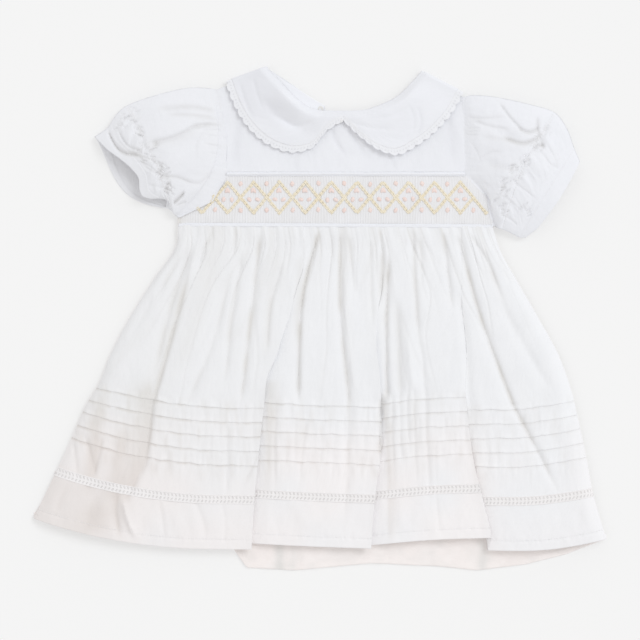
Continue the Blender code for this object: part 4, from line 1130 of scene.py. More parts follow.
BACK_SHADES = (
    # x, strength, width: painted shade on the same hem, where the front hem shades it
    (-37, 0.80, 5.5), (-25, 0.45, 4), (20, 0.15, 20), (100, 0.15, 14),
    (146, 0.60, 5),
)


def back_height(x, y):
    rise = 1.0 + 0.6 * noise(x / 22.0, y / 30.0, 41) + 0.45 * noise(x / 7.0, y / 9.0, 43)
    for at_x, at_y, depth, width in BACK_CREASES:
        rise = rise - depth * np.exp(-((x - at_x) / width) ** 2 - ((y - at_y) / 22.0) ** 2)
    return np.maximum(0.25, rise)


BACK_LACE_Y = mix(INSERTION_Y, HEM_Y, 0.10)


def build_back():
    """The back skirt, its openwork strip and its hem band."""
    # from the yoke seam down to the openwork
    rows = []
    for y in np.linspace(YOKE_BOTTOM - 0.15, 84.0, 22):
        left = armhole_x(-1, y)
        if y < ARMHOLE[-1][2]:
            left = mix(-128.5, -128.3, (ARMHOLE[-1][2] - y) / 9.0)
        columns = np.linspace(left, armhole_x(1, y), BACK_COLUMNS)
        rows.append(np.stack([columns, np.full(BACK_COLUMNS, y)], axis=-1))
    half = np.array((0.0, INSERTION_WIDTH / 2.0))
    seam = np.array((0.0, 0.1))
    lace = back_grid(BACK_LACE_Y)
    rows += [back_grid(y) for y in np.arange(WAIST_Y, BACK_LACE_Y + half[1], -3.0)]
    flat = np.array(rows + [lace + half + seam])
    x, y = flat[..., 0], flat[..., 1]
    z = mix(np.minimum(back_height(x, y), 1.3), 0.9 + 0.25 * noise(x / 2.4, 0.0, 47),
            smooth((y + 40.0) / 60.0))
    skirt = single("skirt_back_cloth", with_height(flat, z), back_cotton)
    # openwork strip
    down = np.linspace(0.0, 1.0, 6)[:, None]
    strip = mix((lace + half)[None], (lace - half)[None], down[..., None])
    x, y = strip[..., 0], strip[..., 1]
    z = np.minimum(back_height(x, y), 1.2)
    uvs = np.stack([x, np.broadcast_to(INSERTION_WIDTH * down, x.shape)], axis=-1)
    openwork = single("lace_insertion_back_cloth", with_height(strip, z), insertion_lace, uvs)
    # hem band, turned in at the edge
    down = np.concatenate([np.linspace(0.0, 0.78, 16), np.linspace(0.8, 1.0, 10)])
    flat = mix((lace - half - seam)[None], back_grid(HEM_Y, 1.0)[None], down[:, None, None])
    z = back_height(flat[..., 0], flat[..., 1]) + 0.4
    z = z + 0.35 * smooth((np.linspace(0.0, 1.0, 26) - 0.8) / 0.02)[:, None]
    points = with_height(flat, z)
    edge = points[-1] - (0.0, 0.3, 0.4)
    edge[:, 2] = np.maximum(0.05, edge[:, 2])
    under = points[-1] + (0.0, 3.0, 0.0)
    under[:, 2] = 0.05
    points = np.concatenate([points, edge[None], under[None]])
    x, y = points[..., 0], points[..., 1]
    # painted shade: patchy, and darker at the places of BACK_SHADES
    dark = 0.20 * noise(x / 9.0, y / 6.0, 57)
    for at_x, strength, width in BACK_SHADES:
        dark = dark + strength * np.exp(-((x - at_x) / width) ** 2)
    hem = single("hem_band_back_cloth", points, hem_back_cotton, None, tints(dark))
    return [skirt, openwork, hem]


# Pieces of the bodice.
def yoke_grid(columns=170, rows=70):
    """x and y of the front yoke, from its shoulders and neck down to the smocked band."""
    edge = np.array(YOKE_EDGE)
    table = np.array(ARMHOLE)
    across = np.linspace(0.0, 1.0, columns)
    edge_x = mix(edge[0, 0], edge[-1, 0], across)
    edge_y = np.interp(edge_x, *edge.T)
    grid = []
    for share in np.linspace(0.0, np.interp(-YOKE_BOTTOM, -table[:, 2], table[:, 0]), rows):
        seams = armhole(-1, share), armhole(1, share)
        ups = [(seam[1] - YOKE_BOTTOM) / (end[1] - YOKE_BOTTOM)
               for seam, end in zip(seams, (edge[0], edge[-1]))]
        up = np.clip(mix(*ups, across), 0.0, 1.0)
        x = mix(seams[0][0], seams[1][0], across)
        grid.append(np.stack([x, mix(YOKE_BOTTOM, edge_y, up)], axis=-1))
    return np.array(grid)


YOKE_CREASES = (
    # as in CREASES
    (9, 172, 13, 160, 21, 148, 1.2, 3, 4, 0.5, 5, 6),
    (26, 170, 33, 158, 40, 147, 1, 4, 3, 0.3, 5, 6),
    (62, 148, 64, 142, 66, 134, 0.7, 2.5, 2.5, 0.4, 4, 4),
    (-70, 190, -76, 165, -78, 140, 0.8, 5, 5, 0.1, 10, 8),
    (112, 190, 116, 168, 118, 142, 0.8, 5, 5, 0.1, 10, 8),
    (-20, 150, -22, 143, -23, 134, 0.6, 4, 4, 0.2, 4, 4),
)
NECK_FALL = 5.6            # how far the front yoke turns down at the neck


def build_yoke():
    flat = yoke_grid()
    x, y = flat[..., 0], flat[..., 1]
    creases = crease_sum(x, y, YOKE_CREASES)
    z = body_rise(x, y) + CLOTH - creases
    z = z + 0.20 * noise(x / 7.0, y / 18.0, 51) + 0.08 * noise(x / 3.0, y / 7.0, 53)
    # it turns down into the neck, and is drawn in at the band
    to_edge = np.interp(x, *np.array(YOKE_EDGE).T) - y
    neckline = smooth((x + 44.0) / 12.0) * smooth((86.0 - x) / 12.0)
    z = z - NECK_FALL * neckline * (1.0 - smooth(to_edge / 9.0))
    z = z + 0.18 * noise(x / 2.3, 0.0, 55) * np.exp(-(y - YOKE_BOTTOM) / 3.0)
    # painted shade: patchy streaks, a darker right part and the creases
    drawn = 0.08 * np.maximum(0.0, noise(x / 6.0, y / 26.0, 81))
    drawn = drawn + 0.12 * smooth((x - 60.0) / 50.0) + 0.18 * creases
    return shell("yoke_front_cloth", with_height(flat, z), 0.5, yoke_cotton, tints(drawn))


def build_back_yokes():
    """The two back yokes, from the armholes to the centre back opening."""
    made = []
    bottom = YOKE_BOTTOM - 4.0
    across = np.linspace(0.0, 1.0, 60)
    holes = np.array(ARMHOLE)
    for word, side, edge, opening in (("left", -1, BACK_LEFT_EDGE, BACK_OPENING_LEFT),
                                      ("right", 1, BACK_RIGHT_EDGE, BACK_OPENING_RIGHT)):
        table = np.array(edge)
        outer, inner = (table[0], table[-1]) if side < 0 else (table[-1], table[0])
        edge_y = np.interp(mix(table[0, 0], table[-1, 0], across), *table.T)
        low = np.interp(-bottom, -holes[:, 2 if side < 0 else 4], holes[:, 0])
        rows = []
        for share in np.linspace(0.0, low, 26):
            seam_x, seam_y = armhole(side, share)
            up = np.clip((seam_y - bottom) / (outer[1] - bottom), 0.0, 1.0)
            ends = (seam_x, mix(opening, inner[0], up))[::-side]
            rows.append(np.stack([mix(*ends, across), mix(bottom, edge_y, up)], axis=-1))
        flat = np.array(rows)
        z = BACK_YOKE_TOP - 0.2 + 0.12 * noise(flat[..., 0] / 8.0, flat[..., 1] / 8.0, 61)
        made.append(shell(f"back_yoke_{word}_cloth", with_height(flat, z), 0.6, body_cotton))
    return made


SEAM_LAP = 2.4             # how far a sleeve's edge lies over the bodice's
PLEAT_PITCH = 2.35
PLEAT_DEPTH = 0.34
DIAMOND_PITCH = 23.2       # from one diamond of the smocking to the next
DIAMOND_FIRST = -83.2      # x of the first peak
DIAMONDS = 10
DIAMOND_TOP = 122.6
DIAMOND_MID = 108.8
DIAMOND_LOW = 95.2
ROSEBUD_Y = 114.9
KNOT_Y = 107.0
BETWEEN_Y = (121.2, 97.6)  # knots between the peaks and between the troughs


def band_top(x):
    table = np.array([row for row in ARMHOLE if row[0] > 0.5])
    left = np.interp(x, table[::-1, 1], table[::-1, 2])
    right = np.interp(x, table[:, 3], table[:, 4])
    return np.minimum(BAND_TOP, np.where(x < 0.0, left, right))


def band_bottom(x):
    return mix(BAND_BOTTOM_LEFT, BAND_BOTTOM_RIGHT, (x + 127.9) / 283.2)


def band_height(x, y):
    """Upper face of the smocked band: round pleats drawn together along the stitches."""
    sway = 0.35 * np.sin((y - DIAMOND_MID) / 13.6 * math.pi) * np.sin(
        (x - DIAMOND_FIRST) / DIAMOND_PITCH * 2.0 * math.pi)
    place = (x + sway) / PLEAT_PITCH + 0.22 * noise(x / 7.0, y / 9.0, 71)
    pleat = 0.5 - 0.5 * np.cos(place * 2.0 * math.pi)
    size = PLEAT_DEPTH * (0.8 + 0.6 * noise(place * 0.9, y / 12.0, 73))
    return body_rise(x, y) + CLOTH + size * pleat + 0.30 * noise(x / 14.0, y / 12.0, 75)


BAND_ROWS = 30


def build_band():
    columns = np.arange(-127.9, 155.35, PLEAT_PITCH / 8.0)
    down = np.linspace(0.0, 1.0, BAND_ROWS)[:, None]
    x = np.broadcast_to(columns, (BAND_ROWS, len(columns)))
    y = mix(band_bottom(columns), band_top(columns), 1.0 - down)
    z = band_height(x, y) - 0.5 * (np.exp(-down / 0.03) + np.exp(-(1.0 - down) / 0.03))
    # painted shade over the whole band, patchy
    drawn = 0.30 + 0.12 * noise(x / 9.0, y / 9.0, 77) + 0.10 * noise(x / 1.2, y / 8.0, 79)
    # painted shade under the edge of the left sleeve
    covered = np.maximum(0.0, x - armhole_x(-1, y) - SEAM_LAP)
    drawn = drawn + 0.9 * np.exp(-covered / 1.1) * smooth((-90.0 - x) / 4.0)
    return single("smocked_band_cloth", np.stack([x, y, z], axis=-1), band_cotton, None,
                  tints(drawn))


def stitch_spot(x, y):
    """Centre of a stitch that lies on the pleats."""
    return (x, y, float(body_rise(np.array(x), np.array(y))) + CLOTH + PLEAT_DEPTH + 0.15)


def inside_band(x, y):
    return float(band_top(np.array(x))) + 0.8 > y > float(band_bottom(x)) + 1.5


def build_embroidery():
    """Two crossing chains of trellis stitch, with bullion rosebuds and knots."""
    gold = Heap()
    rose = Heap()
    rng = np.random.default_rng(5)
    first = DIAMOND_FIRST - 2.0 * DIAMOND_PITCH
    last = DIAMOND_FIRST + (DIAMONDS + 1.0) * DIAMOND_PITCH
    steep = math.atan2((DIAMOND_TOP - DIAMOND_LOW) / DIAMOND_PITCH, 1.0)
    for chain in (0.0, 1.0):
        for k in range(int((last - first) / PLEAT_PITCH)):
            x = first + (k + 0.5) * PLEAT_PITCH
            # the chain peaks at phase 0 and turns up again at phase 1
            phase = ((x - DIAMOND_FIRST) / DIAMOND_PITCH + chain) % 2.0
            y = DIAMOND_MID + (DIAMOND_TOP - DIAMOND_MID) * (2.0 * abs(phase - 1.0) - 1.0)
            covered = (x > 138.5 and y > 110.0) or (x > 151.0 and phase >= 1.0)
            if covered or not inside_band(x, y):
                continue
            slope = -steep if phase < 1.0 else steep
            centre = np.array(stitch_spot(x, y)) + rng.normal(0.0, 0.10, 3) * (1, 1, 0.3)
            side = np.array((-math.sin(slope), math.cos(slope), 0.0))
            for strand in (-0.70, 0.70):
                bead(gold, centre + side * strand, 4.0, 1.60, 1.0,
                     slope * 0.93 + rng.normal(0.0, 0.05))
    for n in range(DIAMONDS):
        x = DIAMOND_FIRST + n * DIAMOND_PITCH + rng.normal(0.0, 0.35)
        # rosebud: three short bullions, then two knots below it
        for dx, dy, angle, size in ((-0.9, 0.2, 1.15, 1.0), (0.9, 0.3, 2.0, 1.0),
                                    (0.0, -0.5, 0.1, 0.9)):
            spot = stitch_spot(x + dx, ROSEBUD_Y + dy + rng.normal(0.0, 0.15))
            bead(rose, spot, 4.8 * size, 2.3, 1.4, angle, 0.35)
        for dx in (-3.7, 3.7):
            spot = stitch_spot(x + dx, KNOT_Y + rng.normal(0.0, 0.25))
            bead(rose, spot, 4.6, 3.2, 1.4, rng.uniform(0.0, 3.1))
            bead(rose, spot, 3.6, 2.6, 1.7, rng.uniform(0.0, 3.1))
    for n in range(-1, DIAMONDS + 1):
        for y in BETWEEN_Y:
            x = DIAMOND_FIRST + (n + 0.5) * DIAMOND_PITCH + rng.normal(0.0, 0.2)
            if not inside_band(x, y) or (y > DIAMOND_MID and not 0 <= n < DIAMONDS - 1):
                continue
            spot = stitch_spot(x, y + rng.normal(0.0, 0.2))
            bead(rose, spot, 4.7, 3.0, 1.5, 1.57 + rng.normal(0.0, 0.3))
            bead(rose, spot, 4.1, 2.8, 1.8, 0.4 + rng.normal(0.0, 0.3))
    return (gold.build("smocking_trellis_stitches", gold_thread),
            rose.build("smocking_rosebuds", rose_thread))


PIPING_RADIUS = 1.05


def seam_line(left, right, count):
    return [mix(left[k], right[k], np.linspace(0.0, 1.0, count)) for k in (0, 1)]


def build_piping(name, left, right):
    x, y = seam_line(left, right, 220)
    z = body_rise(x, y) + PIPING_RADIUS + 0.75
    y = y + 0.12 * noise(x / 22.0, 0.0, 81)
    points, faces = tube_along(np.stack([x, y, z], axis=-1), PIPING_RADIUS, 10)
    points[:, 2] += 0.06 * noise(points[:, 0] / 1.6, points[:, 1], 83)
    return make_object(name, points, faces, body_cotton, points[:, :2])


def build_seam_allowance(name, left, right, lift, width):
    """Flat seam allowance beside a piping, so that no gap shows between the pieces."""
    x, y = seam_line(left, right, 160)
    rows = [np.stack([x, y + off, body_rise(x, y + off) + lift], axis=-1)
            for off in (width / 2.0, 0.0, -width / 2.0)]
    return single(name, np.array(rows), body_cotton)


# Collar, binding and button.
LACE_WIDTH = 5.0           # of the collar's edging
COLLAR_LIFT = 1.8          # upper face of the collar over the yoke's upper face
COLLAR_COLUMNS = 34


def collar_sections(table, count):
    """Neck and edge points of a collar half at even steps along its edge."""
    table = np.array(table)
    place = run_along(table[:, 2:4])
    at = np.linspace(0.0, place[-1], count)
    return np.stack([curve(place, table[:, k], at) for k in range(4)], axis=-1), at


CREST_AT = 7.0             # distance of the roll's crest from the neck edge
NECK_LOW = 4.6             # height where the roll has turned down into the neck
COLLAR_CREASES = (
    # as in CREASES: soft streaks and hollows on the collar halves
    (-72, 209, -68, 196, -62, 182, 0.9, 2.6, 2.6, 0.3, 4, 6),
    (-60, 214, -57, 202, -52, 188, 0.8, 2.4, 2.4, 0.3, 4, 6),
    (-50, 196, -40, 182, -24, 172, 1.5, 6, 8, 0.1, 6, 6),
    (88, 188, 90, 176, 87, 164, 0.7, 2, 2.6, 0.4, 4, 5),
    (80, 190, 84, 180, 83, 168, 0.5, 2.4, 2.4, 0.3, 4, 5),
)
COLLAR_FOLDS = (
    # as in SLEEVE_FOLDS_LEFT
    (30, 175, 45, 171, 62, 170, 0.7, 2, 3, 0.3, 5, 6),
    (52, 180, 62, 181, 74, 187, 0.8, 3, 3, 0.2, 6, 6),
    (62, 162, 78, 163, 96, 173, 0.5, 1.6, 1.6, 0.4, 5, 5),
    (-34, 178, -22, 173, -8, 176, 1.2, 4, 3, 0.2, 6, 5),
)


def collar_height(x, y, distance, length, share, side):
    """Upper face of a collar half; distance runs from the neck edge to the free edge."""
    past = np.maximum(0.0, distance - CREST_AT)
    free = length - distance
    if side < 0:
        tall = 3.6 + 3.2 * np.exp(-((share - 0.50) / 0.20) ** 2)
        roll = tall * np.exp(-(past / 13.0) ** 1.3)
        # the hollow just below the crest
        roll = roll - 2.0 * np.exp(-((share - 0.45) / 0.16) ** 2 - ((past - 14.0) / 7.0) ** 2)
        lift = (0.3 + 0.5 * smooth((share - 0.35) / 0.3)) * np.exp(-free / 10.0)
    else:
        tall = 2.0 + 1.0 * np.exp(-((share - 0.55) / 0.3) ** 2)
        roll = tall * np.exp(-(past / 16.0) ** 1.6)
        lift = (0.6 + 2.4 * np.exp(-((share - 0.33) / 0.16) ** 2)) * np.exp(-free / 12.0)
    z = body_rise(x, y) + CLOTH + COLLAR_LIFT + roll * smooth(length / 26.0) + lift
    z = z + 0.25 * noise(share * 9.0 + 5.0 * side, distance / 16.0, 91)
    z = z + 0.22 * np.exp(-free / 5.0) * noise(share * 34.0, 0.0, 93)
    z = z - crease_sum(x, y, COLLAR_CREASES) - fold_sum(x, y, COLLAR_FOLDS)
    return mix(z, np.minimum(z, NECK_LOW), 1.0 - smooth(distance / CREST_AT))


def collar_grid(table, count, first, last, columns, side):
    """Grid of a collar strip between two distances from the neck edge."""
    sections, at = collar_sections(table, count)
    neck, edge = sections[:, None, 0:2], sections[:, None, 2:4]
    length = np.linalg.norm(edge - neck, axis=2)
    distance = mix(np.maximum(first(length), 0.0), last(length), np.linspace(0.0, 1.0, columns))
    spot = neck + (edge - neck) * (distance / np.maximum(length, 1e-6))[..., None]
    z = collar_height(spot[..., 0], spot[..., 1], distance, length, (at / at[-1])[:, None], side)
    return with_height(spot, z), at


def lace_depth(length):
    return np.minimum(LACE_WIDTH, 0.4 * length)


def fold_under(points, under_points, side):
    """Adds the turn over the shoulder and the first part of the under half."""
    top, low = points[-1], under_points[0]
    middle, half = (top[:, 2] + low[:, 2]) / 2.0, (top[:, 2] - low[:, 2]) / 2.0
    out = (-0.34, 0.94) if side < 0 else (0.45, 0.89)
    rows = []
    for turn in np.linspace(0.0, math.pi, 9)[1:-1]:
        ring = mix(top, low, turn / math.pi)
        ring[:, 2] = middle + half * math.cos(turn)
        ring[:, :2] += np.outer(np.minimum(2.6, half) * math.sin(turn), out)
        rows.append(ring)
    return np.concatenate([points, rows, under_points])


def collar_shade(points, side):
    """Tint of a collar half: the left one is turned away from the light near the shoulder."""
    x, y = points[..., 0], points[..., 1]
    if side > 0:
        return 0.05 + 0.25 * crease_sum(x, y, COLLAR_CREASES)
    shoulder = smooth((y - 172.0) / 26.0) * smooth((-22.0 - x) / 20.0)
    hollow = np.exp(-((x + 36.0) / 20.0) ** 2 - ((y - 186.0) / 9.0) ** 2)
    return 0.08 + 0.26 * shoulder + 0.22 * hollow


LOBE_ROWS = 150
LACE_COLUMNS = 14
LACE_LAP = 1.5             # how far the lace runs over the collar's cloth


def build_collar(side, table, under, cloth_name, lace_name):
    """Cloth of a collar half and the lace on its edge, both turned over the shoulder."""
    def strip(first, last, columns):
        top, at = collar_grid(table, LOBE_ROWS, first, last, columns, side)
        low = collar_grid(under, 24, first, last, columns, side)[0]
        low[..., 2] = 0.55
        return top, low, at

    def upright(grid):
        """Turns a grid that runs along the lobe so that its upper face looks up."""
        return grid[::-1, ::-1] if side > 0 else grid[::-1]

    top, low, at = strip(lambda length: 0.0 * length,
                         lambda length: length - lace_depth(length) - 0.1, COLLAR_COLUMNS)
    points = upright(fold_under(top, low, side))
    cloth = shell(cloth_name, points, 0.45, collar_cotton, tints(collar_shade(points, side)))

    top, low, at = strip(lambda length: length - lace_depth(length) - LACE_LAP,
                         lambda length: length, LACE_COLUMNS)
    scallop = 2.3 * np.abs(np.sin(at / SCALLOP * math.pi)) ** 0.55 - 1.0
    out = top[:, -1, :2] - top[:, 0, :2]
    out /= np.maximum(np.linalg.norm(out, axis=1, keepdims=True), 1e-6)
    grow = np.linspace(0.0, 1.0, LACE_COLUMNS) ** 1.5
    top[..., :2] += out[:, None] * (scallop[:, None] * grow)[..., None]
    top[..., 2] += 0.25 * np.sin(at / SCALLOP * 2.0 * math.pi)[:, None] * grow
    top[..., 2] += 0.42 - 0.27 * grow
    points = fold_under(top, low, side)
    run = np.concatenate([at, at[-1] + 0.8 * np.arange(1, len(points) - LOBE_ROWS + 1)])
    v = arc_map(points)[..., 0]
    uvs = np.stack([np.broadcast_to(run[:, None], v.shape), v], axis=-1)
    return cloth, single(lace_name, upright(points), edging_lace, upright(uvs))


TACK_HEIGHT = 12.5         # height of the bar tack where the halves of the collar meet


def build_collar_stitches(side, table, name):
    """Pin-stitched row where the lace joins the collar, and the corded edge beside it."""
    heap = Heap()
    for inset, pitch, size in ((LACE_WIDTH + 0.2, 1.5, (1.05, 0.6, 0.5)),
                               (LACE_WIDTH + 2.2, 1.9, (1.2, 0.5, 0.4))):
        def at_inset(length):
            return np.maximum(length - inset * np.minimum(1.0, length / 12.0), 0.0)
        row = collar_grid(table, 400, at_inset, at_inset, 2, side)[0][:, 0]
        stitch_row(heap, row, pitch, size, 0.32, 0.8)
    if side > 0:
        for k in range(6):
            bead(heap, (18.9, 178.9 - 0.5 * k, TACK_HEIGHT), 3.0, 0.9, 0.9, 0.12 * (k - 2))
    return heap.build(name, stitch_cotton)


BINDING_PROFILE = (
    # distance from the back neck edge, height over the yoke
    (0.0, 0.3), (0.3, 0.8), (1.0, 1.05), (3.4, 1.1), (5.6, 1.5), (8.0, 2.2), (10.5, 3.0),
    (13.0, 3.6),
)


def build_neck_binding():
    edge = np.array(BACK_LEFT_EDGE[3:])
    at = np.linspace(0.1, 4.0, 60)
    x, y = (np.interp(at, np.arange(len(edge)), values) for values in edge.T)
    rows = []
    for depth, lift in BINDING_PROFILE:
        z = BACK_YOKE_TOP + lift + 0.08 * noise(x / 3.0, depth, 97)
        rows.append(np.stack([x - 0.62 * depth, y - 0.79 * depth, z], axis=-1))
    return single("neck_binding_cloth", np.array(rows), collar_cotton)


BUTTON_SIDES = 40
BUTTON_PROFILE = (
    # radius, height over the yoke
    (0.02, 1.25), (0.35, 1.28), (0.5, 1.2), (0.75, 1.25), (1.4, 1.35), (1.9, 1.6),
    (2.3, 1.65), (2.55, 1.4), (2.6, 1.0), (2.5, 0.5), (2.2, 0.3),
)


def build_button():
    """Small dished pearl button with a rim, sewn on with crossed thread."""
    turn = np.arange(BUTTON_SIDES) * 2.0 * math.pi / BUTTON_SIDES
    radius, height = np.array(BUTTON_PROFILE).T[..., None]
    points = np.stack(np.broadcast_arrays(BUTTON_AT[0] + radius * np.cos(turn),
                                          BUTTON_AT[1] + radius * np.sin(turn),
                                          BACK_YOKE_TOP + height), axis=-1).reshape(-1, 3)
    body = make_object("back_button_pearl", points,
                       ring_faces(len(BUTTON_PROFILE), BUTTON_SIDES), pearl, points[:, :2])
    heap = Heap()
    for angle in (0.79, -0.79):
        bead(heap, (*BUTTON_AT, BACK_YOKE_TOP + 1.42), 1.9, 0.35, 0.3, angle)
    heap.build("back_button_thread", stitch_cotton).parent = body
    return body


# Sleeves.
# Folds that run across the sleeves, from left to right, and a few that run down them.
SLEEVE_FOLDS_LEFT = (
    # start_x, start_y, mid_x, mid_y, end_x, end_y, depth, below, above, sharp,
    # fade_start, fade_end
    (-139.1, 186.1, -117.5, 188.8, -97.7, 187, 1.3, 5, 3, 0.3, 8, 4),
    (-133.7, 182.5, -115.7, 181.6, -96.8, 180.7, 0.9, 2.5, 2.5, 0.5, 6, 4),
    (-151.7, 157.3, -130.1, 162.7, -112.5, 172, 2.9, 4.2, 3, 0.45, 6, 6),
    (-116, 171.3, -108, 173.5, -99, 174.3, 1.2, 2.6, 2.4, 0.6, 5, 4),
    (-112, 171.3, -101.2, 173.5, -89.5, 173.5, 1.6, 2.2, 2.6, 0.7, 3, 3),
    (-112, 178, -101.2, 178.5, -89.5, 178, 0.7, 1.6, 1.6, 0.5, 5, 3),
    (-105.8, 168.6, -97.7, 169, -88.7, 168.6, 0.8, 1.6, 1.6, 0.5, 4, 3),
    (-102.2, 164.5, -95.9, 163.6, -87.8, 163.6, 0.6, 1.4, 1.4, 0.5, 4, 3),
    (-103, 156.4, -95.9, 155.1, -87.8, 154.6, 0.9, 1.5, 1.7, 0.6, 4, 3),
    (-99.5, 148.3, -94, 147.4, -87.8, 147.4, 0.6, 1.4, 1.4, 0.5, 3, 3),
    (-141.8, 126.7, -129.2, 126.3, -117.5, 122.2, 1.7, 2.2, 2.6, 0.7, 4, 4),
    (-119.2, 122.2, -108.5, 121.3, -98.5, 128.5, 1, 2.4, 3, 0.4, 4, 5),
    (-157.1, 135.7, -149, 130.8, -139.1, 127.6, 1, 1.8, 2.2, 0.5, 3, 4),
    (-191.2, 169, -184.1, 155.5, -163.3, 145.6, 3.4, 2.2, 3, 0.8, 1.5, 3),
    (-180.5, 166.3, -174.2, 156.4, -161.6, 150.1, 1.7, 2, 2.4, 0.6, 3, 3),
    (-162.5, 145.6, -153.5, 142.9, -144.5, 137.5, 1, 1.8, 1.8, 0.6, 2, 3),
    (-164.2, 140.2, -155.2, 137.5, -146.2, 131.2, 0.8, 1.8, 1.8, 0.5, 3, 3),
    (-153.5, 119.5, -144.5, 117.7, -137.2, 115.9, 0.7, 1.8, 1.8, 0.5, 3, 3),
    (-132, 103.5, -127, 108, -122.5, 112.5, 3.6, 2.2, 2.4, 0.8, 1.2, 1.2),
    (-129, 101, -125, 103, -121, 104.4, 1.4, 1.6, 1.6, 0.7, 1.2, 1.2),
)
SLEEVE_FOLDS_RIGHT = (
    # the same
    (131, 180.7, 146.2, 179.4, 162.5, 180.7, 1, 1.8, 2.2, 0.6, 4, 5),
    (129.2, 171.3, 134.6, 170.8, 141.8, 171.3, 0.8, 1.2, 1.2, 0.6, 1.5, 3),
    (129.2, 168.1, 134.6, 167.7, 141.8, 168.1, 0.8, 1.2, 1.2, 0.6, 1.5, 3),
    (129.2, 165, 134.6, 164.5, 141.8, 164.5, 0.7, 1.2, 1.2, 0.6, 1.5, 3),
    (129.2, 176.2, 134.6, 175.8, 141.8, 176.7, 0.6, 1.2, 1.2, 0.6, 1.5, 3),
    (160.7, 193.3, 170.6, 179.8, 179.6, 169.9, 1.7, 2.6, 2, 0.7, 3, 2.5),
    (177.8, 170.4, 185.8, 167.2, 194.8, 169.9, 2.4, 2.2, 2.6, 0.8, 2.5, 1.5),
    (138.2, 177.1, 152.6, 172.2, 167, 169.9, 1.5, 3, 2.6, 0.5, 4, 4),
    (145.3, 162.7, 161.6, 161.4, 174.2, 160, 1.4, 4.5, 6, 0.2, 6, 5),
    (165.2, 161.8, 181.3, 157.3, 194.8, 161.8, 2.8, 2.4, 3, 0.8, 5, 1.5),
    (156.2, 167.2, 166.1, 165.4, 176, 163.6, 1.6, 5, 5, 0, 6, 6),
    (190.3, 151, 194.8, 154.6, 200.2, 155.5, 1.8, 1.6, 2, 0.8, 1.5, 1.5),
    (134.6, 158.2, 139.1, 151.9, 143.6, 142, 0.8, 2.2, 2.2, 0.4, 3, 4),
    (140.8, 142, 150.8, 148.3, 161.6, 149.2, 0.9, 2.4, 2.4, 0.4, 4, 5),
    (149, 137.5, 161.6, 134.8, 175.1, 132.1, 1.1, 4, 5, 0.2, 6, 4),
    (158.8, 126.7, 166.1, 124.9, 173.2, 125.8, 0.7, 2.2, 2.2, 0.4, 3, 3),
    (174.2, 121.3, 181.3, 115.9, 192.2, 107.8, 0.9, 2, 2, 0.5, 3, 4),
    (166.1, 107.8, 172.3, 103.3, 179.6, 96.1, 0.8, 2, 2, 0.5, 3, 3),
    (181.3, 101.5, 185, 96.1, 189.5, 101.5, 0.8, 1.6, 1.6, 0.5, 2, 2),
    (202.1, 142.9, 206.6, 137.5, 212, 135.7, 0.8, 2.2, 2.2, 0.5, 3, 2),
    (161.6, 92.5, 168.8, 89.8, 176, 84.4, 0.8, 1.8, 1.8, 0.5, 3, 2),
)
SLEEVE_SHADES_LEFT = (
    # as in SLEEVE_FOLDS_LEFT, with the depth as a share of the full tint
    (-144.5, 188.8, -118, 190.4, -96.8, 187.2, 0.30, 3.6, 3, 0.2, 7, 4),
    (-136, 182.3, -117.5, 183.2, -97.7, 180.2, 0.24, 2.6, 2.2, 0.3, 6, 4),
    (-151, 156, -131, 159.5, -112, 167, 0.22, 5.6, 2.4, 0.2, 6, 6),
    (-103, 167, -98, 152, -106, 139, 0.14, 5, 5, 0.2, 6, 6),
    (-182, 160, -171, 151, -160, 146, 0.28, 4, 2, 0.2, 4, 4),
)
SLEEVE_SHADES_RIGHT = (
    (149, 163.5, 161, 161, 172, 159.5, 0.24, 5, 4, 0.2, 6, 5),
    (166, 160.5, 181, 156, 194, 159, 0.28, 4, 2.6, 0.3, 6, 4),
    (150, 138, 161, 135, 174, 133, 0.18, 5, 4, 0.2, 6, 5),
    (176, 169, 186, 166, 194, 168, 0.16, 3.4, 2, 0.2, 5, 3),
)
SLEEVE_CREASES_LEFT = (
    # as in CREASES
    (-104, 167.2, -110.2, 159.1, -112, 144.7, 0.9, 2.6, 2.6, 0.3, 4, 6),
    (-167, 174.4, -162.5, 167.2, -157.1, 154.6, 1, 2.4, 2.8, 0.3, 4, 4),
)
SLEEVE_CREASES_RIGHT = (
    (194, 179.8, 194.8, 169, 199.3, 152.8, 1.6, 2.4, 1.8, 0.7, 3, 2),
    (204.8, 151.9, 209.2, 144.7, 212, 135.7, 0.7, 2, 2, 0.5, 3, 3),
)
SHIRRING_LEFT = (
    # low_x, low_y, high_x, high_y, count, slope: short creases where the shirring draws in
    (-167, 163, -160, 172.5, 6, -0.5), (-164, 150.5, -155, 157, 5, 0.3),
    (-155, 149.5, -146, 158.5, 7, 0.4), (-150, 131.5, -139, 143.5, 8, -0.7),
    (-139, 110.5, -132.5, 121, 8, -0.4), (-186, 170, -163, 190, 16, 0.2),
    (-146, 112, -134, 134, 14, 0.5),
    (-166, 139, -150, 150, 6, -0.2),
)
SHIRRING_RIGHT = (
    (197, 163.5, 207, 173, 6, 0.6), (190, 149, 199, 157, 5, 0.6),
    (176.5, 137, 187.5, 146.5, 7, 0.5), (167.5, 122.5, 182.5, 138, 15, 0.35),
    (160.5, 113, 173.5, 125.5, 9, 0.4), (155, 105, 167, 118.5, 8, 0.5),
    (178.5, 92, 188, 103.5, 6, 0.6), (160, 90, 172, 104, 6, 0.3),
)


